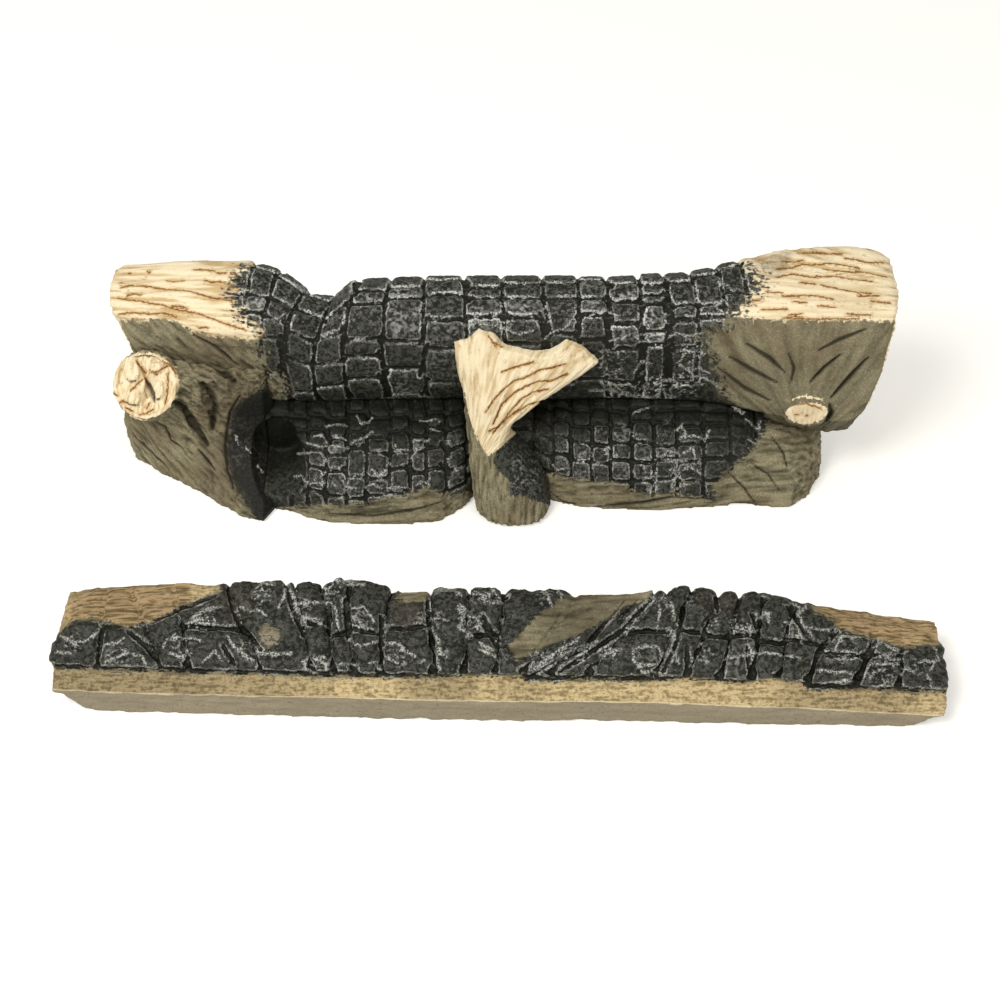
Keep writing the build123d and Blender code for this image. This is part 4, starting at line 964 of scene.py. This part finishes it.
# Cracks across the plates of the front log
front_cracks = (
    ((103, 623), (97, 668)), ((128, 632), (148, 648), (163, 668)),
    ((151, 622), (187, 606), (216, 596)), ((228, 592), (238, 622), (261, 650)),
    ((222, 645), (234, 664)), ((286, 586), (292, 607), (304, 636)), ((329, 605), (329, 634)),
    ((345, 600), (348, 638)), ((380, 584), (382, 630), (382, 676)),
    ((427, 598), (430, 628), (436, 670)), ((483, 616), (492, 634)), ((480, 620), (498, 648)),
    ((624, 599), (600, 629), (585, 647), (525, 680)), ((651, 599), (624, 629), (594, 650), (560, 672)),
    ((687, 584), (681, 620), (675, 647), (663, 672)), ((714, 588), (717, 611)),
    ((747, 593), (756, 629)), ((783, 602), (796, 620), (810, 640)),
    ((837, 632), (818, 652), (807, 688)), ((876, 641), (866, 662), (858, 684)),
    ((687, 647), (687, 672)), ((747, 647), (750, 672)),
)
# Cuts: width, depth, and the line that each follows
upper_cuts = (
    (2.2, 3.2, ((841, 355), (825, 368), (810, 383))),
    (2.6, 3.6, ((869, 358), (853, 375), (831, 399))),
    (2.8, 1.2, ((729, 357), (755, 372), (777, 383))),
    (3.0, 1.4, ((745, 343), (770, 359), (785, 373))),
    (2.6, 1.0, ((718, 368), (744, 388), (770, 401))),
    (2.2, 1.0, ((788, 353), (794, 368), (790, 385))),
    (2.6, 1.0, ((866, 329), (838, 340), (818, 351))),
    (2.2, 2.2, ((192, 335), (215, 347), (238, 366))),
    (2.4, 2.4, ((830, 404), (832, 413), (826, 421))),
    (1.6, -1.0, ((782, 335), (793, 353), (799, 364), (806, 374))),
)
leg_cuts = (
    (6.0, 3.6, ((199, 381), (210, 396), (214, 410), (212, 430))),
    (5.6, 3.6, ((176, 403), (188, 416), (197, 430), (207, 446))),
    (6.0, 3.6, ((203, 352), (216, 363), (227, 373), (235, 384))),
    (1.6, 1.8, ((175, 353), (183, 357), (189, 358), (191, 345))),
    (1.8, 2.0, ((201, 340), (212, 348), (222, 357), (235, 367))),
    (1.3, 1.2, ((164, 425), (171, 440), (184, 449))),
    (1.6, 1.6, ((198, 449), (206, 459), (215, 470))),
    (1.5, 1.4, ((134, 436), (141, 443), (151, 452), (164, 464))),
    (1.8, -1.2, ((196, 452), (206, 468), (215, 482))),
    (2.0, 1.2, ((240, 396), (230, 412), (225, 445), (227, 470), (233, 488))),
    (2.6, 2.6, ((147, 380), (151, 391), (154, 402))),
)
stub_grooves = (
    (2.2, 1.8, ((137, 361), (142, 367), (145, 374), (147, 381))),
    (1.2, 0.9, ((152, 372), (158, 372), (163, 369), (167, 366))),
    (1.4, 1.0, ((168, 373), (168, 384), (167, 396), (165, 404))),
)
lower_cuts = (
    (1.5, 0.9, ((590, 507), (642, 503), (672, 497), (713, 499))),
    (1.4, 0.8, ((551, 492), (562, 501), (590, 508))),
    (1.5, 0.9, ((330, 514), (372, 516), (410, 511), (440, 503))),
    (1.6, 1.0, ((728, 472), (744, 488), (757, 506))),
    (1.6, 1.0, ((772, 436), (783, 452), (788, 470))),
    (1.4, 0.8, ((750, 462), (768, 474), (780, 492))),
)
front_cuts = (
    (1.2, 1.6, ((627, 597), (611, 616), (597, 628))),
    (1.2, 1.4, ((637, 600), (632, 607), (620, 618))),
)
fork_groove = (1.3, 1.3)


def upper_log():
    """The charred log on top: pale split ends, bark and a knot at the right."""
    skin = Casting("upper_log", 1.28)
    x = skin.points[:, 0]
    z = skin.points[:, 2]
    across, down = skin.seen.T
    gap = skin.check_gap()
    char = smooth_step(-13, 13, skin.inside(upper_char_outline))
    # Behind and below, the char runs from one split end to the other
    hidden = (skin.normals[:, 1] > 0.2) | (skin.normals[:, 2] < -0.5)
    char_start, char_stop, blend = -152, 148, 8
    behind = smooth_step(char_start - blend, char_start + blend, x)
    behind = behind * (1 - smooth_step(char_stop - blend, char_stop + blend, x))
    char = np.where(hidden, behind, char)
    wood = np.maximum(skin.inside(left_wood_outline), skin.inside(right_wood_outline))
    wood = smooth_step(-3, 3, wood)
    end_from = 225
    end = (np.abs(skin.normals[:, 0]) > 0.75) & (np.abs(x) > end_from)
    wood = np.where(end, 1.0, wood)
    knot = smooth_step(-1.2, 1.2, skin.inside(knot_outline)) * (skin.normals[:, 1] < -0.3)
    left = (across < photo_middle)[:, None]
    grain = np.where(left, skin.fan(-127, 283, 300), skin.fan(1126, 324, 300))
    bark_top, bark_from = 318, 205
    bark = ((wood < 0.5) & (down > bark_top) & (np.abs(across - photo_middle) > bark_from))[:, None]
    bark_grain = np.where(left, turned(skin.points, (0.6, -0.4, -0.5)), skin.fan(804, 445, 60))
    bed_top = 52
    # The crest takes more silver than the front below it
    silver = 1.3 - 0.75 * smooth_step(322, 345, down)
    skin.marks |= {
        "char": char,
        "wood": np.maximum(wood, knot),
        "edge_mm": gap,
        "cell": skin.blocks(gap),
        "calm": skin.near(upper_calm),
        "carve": skin.strokes(upper_cuts),
        # Painted shade, at half strength, on the underside below bed_top
        "soot_and_shade": np.where(z < bed_top, 0.5, 0.0),
        "rust": skin.near(((215, 380, 60, 0.5), (765, 375, 30, 0.4), (772, 256, 26, 0.9))) * ~hidden,
        "silver": np.maximum(silver, skin.near(upper_silver)),
        "vein_mm": skin.traced(upper_veins),
        "glint_mm": skin.traced(upper_glints),
        "grain_mm": np.where(bark, bark_grain, grain),
    }
    return skin


def lower_log():
    """The half-round charred log under it, with painted shadow where the upper log lies over it."""
    skin = Casting("lower_log", 1.15)
    z = skin.points[:, 2]
    gap = skin.check_gap()
    # Painted shadow, near black, along the top under the upper log's lip, and painted shade over the char
    # in the burnt hollow
    soot_and_shade = np.maximum(smooth_step(34, 46, z) * 0.92, skin.near(((270, 435, 54, 0.9),)))
    skin.marks |= {
        "char": smooth_step(-5, 5, skin.inside(lower_char_outline)) * (skin.normals[:, 1] < 0.3),
        "edge_mm": gap,
        "cell": skin.blocks(gap),
        "calm": skin.near(lower_calm),
        "carve": skin.strokes(lower_cuts),
        "soot_and_shade": soot_and_shade,
        "silver": 0.2 + skin.near(lower_silver),
        "glint_mm": skin.traced(lower_glints),
        "grain_mm": turned(skin.points, (0.99, 0.0, 0.1)),
    }
    return skin


def leg_branch():
    """The bark-covered leg, with the cut face of its stub and the burnt hollow."""
    skin = Casting("leg_branch", 0.73)
    y = skin.points[:, 1]
    hollow = smooth_step(-6, 4, skin.inside(hollow_outline)) * (skin.normals[:, 1] < 0.2)
    stub_back = 12
    face = smooth_step(-1.5, 1.5, skin.inside(stub_outline)) * (y < stub_back)
    face = face * (skin.normals[:, 2] > -0.2)
    skin.strokes(stub_grooves)
    skin.marks |= {
        "char": hollow,
        "wood": face,
        "calm": 0.3 * face,
        "carve": skin.strokes(leg_cuts),
        # The hollow's char is darkened further with painted shade
        "soot_and_shade": hollow * 0.82,
        "rust": skin.near(((226, 400, 40, 0.6), (235, 470, 50, 0.6))),
        "silver": 0.5 + skin.near(leg_silver),
        "vein_mm": skin.traced(leg_veins),
        "glint_mm": skin.traced(leg_glints),
        "grain_mm": np.where(
            face[:, None] > 0.5,
            turned(skin.points, (0.2, 0.4, 0.9)),
            turned(skin.points, (0.66, -0.46, -0.57)),
        ),
    }
    return skin


def fork_branch():
    """The pale torn fork, charred along its underside."""
    skin = Casting("fork_branch", 0.6)
    z = skin.points[:, 2]
    fan_foot = 36
    wood = smooth_step(-1.5, 1.5, skin.inside(fork_wood_outline)) * (z > fan_foot)
    char = smooth_step(-1.5, 1.5, skin.inside(fork_char_outline)) * (1 - wood)
    skin.strokes([(*fork_groove, pixels) for pixels in fork_veins])
    skin.marks |= {
        "char": char,
        "wood": wood,
        "calm": 0.4 * wood,
        "silver": 0.5 + skin.near(fork_silver),
        "vein_mm": skin.traced(fork_veins),
        "grain_mm": np.where(
            wood[:, None] > 0.5, skin.fan(470, 474, 70), turned(skin.points, (0.05, 0.5, 0.85)),
        ),
    }
    return skin


def front_log():
    """The loose front log: a tan face and shelf under a charred, plated crest."""
    skin = Casting("front_log", 1.13)
    gap = np.minimum(skin.check_gap(), skin.traced(front_cracks)[:, 1])
    bark = np.maximum(skin.inside(front_bark_outline), skin.inside(front_chunk_outline))
    bark = smooth_step(-2, 2, bark)
    pale = skin.near(((270, 637, 16, 0.62),))
    char = smooth_step(-4, 4, skin.inside(front_char_outline)) * (1 - bark) * (1 - pale)
    split = np.maximum(skin.inside(left_split_outline), skin.inside(right_split_outline))
    split = smooth_step(-3, 3, split)
    shelf = smooth_step(0.15, 0.5, skin.normals[:, 2]) * (pale < 0.05)
    dust = skin.near(shelf_dust) * shelf * (1 - char) * (1 - split)
    skin.marks |= {
        "char": char,
        "bare": (1 - char) * (1 - bark),
        "edge_mm": gap,
        "cell": skin.blocks(gap),
        "shelf": shelf,
        "split": split,
        "rust": skin.near(((236, 605, 22, 0.4), (408, 612, 20, 0.5), (720, 600, 28, 0.3))),
        "silver": 0.8 + skin.near(front_silver),
        "carve": skin.strokes(front_cuts),
        "soot_and_shade": np.maximum(dust, skin.near(front_soot)),
        "gloss": np.full(len(gap), 0.6),
        "glint_mm": skin.traced(front_glints),
        "grain_mm": turned(skin.points, (1.0, 0.03, 0.0)),
    }
    return skin


paint = refractory_paint("hand_painted_refractory")
log_sizes = {
    "Check Width": 2.2, "Check Depth": 1.2, "Block Dome": 0.5, "Block Step": 0.9, "Streak Depth": 1.0,
    "Grain Depth": 0.8, "Grain Width": 2.4, "Streak Length": 34.0, "Seed": 1.0,
}
branch_sizes = {
    "Check Depth": 0.0, "Block Dome": 0.0, "Block Step": 0.0, "Streak Depth": 1.2, "Streak Width": 2.6,
    "Streak Length": 16.0, "Grain Depth": 0.35, "Pit Depth": 0.2, "Seed": 4.0,
}
front_sizes = {
    "Check Width": 2.2, "Check Depth": 2.0, "Block Dome": 1.4, "Block Step": 1.8, "Streak Depth": 0.5,
    "Pit Depth": 1.5, "Pit Size": 8.0, "Seed": 8.0,
}
for make, body, sizes in (
    (upper_log, "rear_logs", log_sizes),
    (lower_log, "rear_logs", log_sizes),
    (leg_branch, "rear_logs", branch_sizes),
    (fork_branch, "rear_logs", branch_sizes),
    (front_log, "front_log", front_sizes),
):
    make().finish(body, paint, sizes)

dowel_steel = bright_steel("bright_drawn_steel", "b9b9bb", 0.28)
rod_steel = bright_steel("plain_rod_steel", "8f8f92", 0.42)
for name in ("upper_log_dowels", "fork_branch_dowels", "leg_branch_dowel"):
    nodes[name].material_slots[0].material = dowel_steel
for name in ("upper_log_rod", "lower_log_rod", "front_log_rod"):
    nodes[name].material_slots[0].material = rod_steel

# White floor under soft studio light
floor_mesh = bpy.data.meshes.new("floor")
half = 6.0
floor_mesh.from_pydata(
    [(-half, -half, 0), (half, -half, 0), (half, half, 0), (-half, half, 0)], [], [(0, 1, 2, 3)],
)
floor = bpy.data.objects.new("floor", floor_mesh)
bpy.context.scene.collection.objects.link(floor)
floor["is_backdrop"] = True
floor_paper = bpy.data.materials.new("white_paper_sweep")
floor_paper.use_nodes = True
tree = floor_paper.node_tree
tree.nodes.clear()
matt = add(tree, "ShaderNodeBsdfDiffuse", {}, {"Color": linear("f4f3f0")})
glow = add(tree, "ShaderNodeEmission", {}, {"Color": linear("ffffff"), "Strength": 0.3})
both = add(tree, "ShaderNodeAddShader", {}, {0: matt, 1: glow})
path = add(tree, "ShaderNodeLightPath")
shown = add(tree, "ShaderNodeMixShader", {}, {0: path.outputs["Is Camera Ray"], 1: matt, 2: both})
add(tree, "ShaderNodeOutputMaterial", {}, {"Surface": shown})
floor_mesh.materials.append(floor_paper)

world = bpy.data.worlds.new("studio")
bpy.context.scene.world = world
world.use_nodes = True
tree = world.node_tree
tree.nodes.clear()
path = add(tree, "ShaderNodeLightPath")
seen = add(tree, *larger, {0: path.outputs["Is Camera Ray"], 1: path.outputs["Is Transmission Ray"]})
fill = add(tree, "ShaderNodeBackground", {}, {"Color": linear("fbf8f0"), "Strength": 0.5})
white = add(tree, "ShaderNodeBackground", {}, {"Color": linear("ffffff"), "Strength": 1.0})
sky = add(tree, "ShaderNodeMixShader", {}, {0: seen, 1: fill, 2: white})
add(tree, "ShaderNodeOutputWorld", {}, {"Surface": sky})

for name, place, aim, size, power in (
    ("key_softbox", (-0.9, -0.9, 1.7), (0, 0, 0), 0.9, 26.0),
    ("fill_softbox", (1.0, -1.3, 1.2), (0, 0, 0), 1.2, 8.0),
):
    lamp = bpy.data.lights.new(name, "AREA")
    lamp.size = size
    lamp.energy = power
    lamp.color = linear("fffcf6")[:3]
    light = bpy.data.objects.new(name, lamp)
    light.location = place
    light.rotation_mode = "QUATERNION"
    light.rotation_quaternion = (Vector(aim) - Vector(place)).to_track_quat("-Z", "Y")
    bpy.context.scene.collection.objects.link(light)

lens = bpy.data.cameras.new("photo_lens")
film_mm = 36.0
photo_width = 1000.0
lens.sensor_width = film_mm
lens.lens = film_mm * photo_focus / photo_width
camera = bpy.data.objects.new("photo_camera", lens)
camera.location = Vector(eye) * MM
camera.rotation_euler = (math.pi / 2 - eye_tilt, 0, 0)
bpy.context.scene.collection.objects.link(camera)
bpy.context.scene.camera = camera
bpy.context.scene.view_settings.view_transform = "Standard"

model_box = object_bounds()
sizes = {
    "cad": [list(corner) for corner in cad_box],
    "visual": [list(corner) for corner in model_box],
}
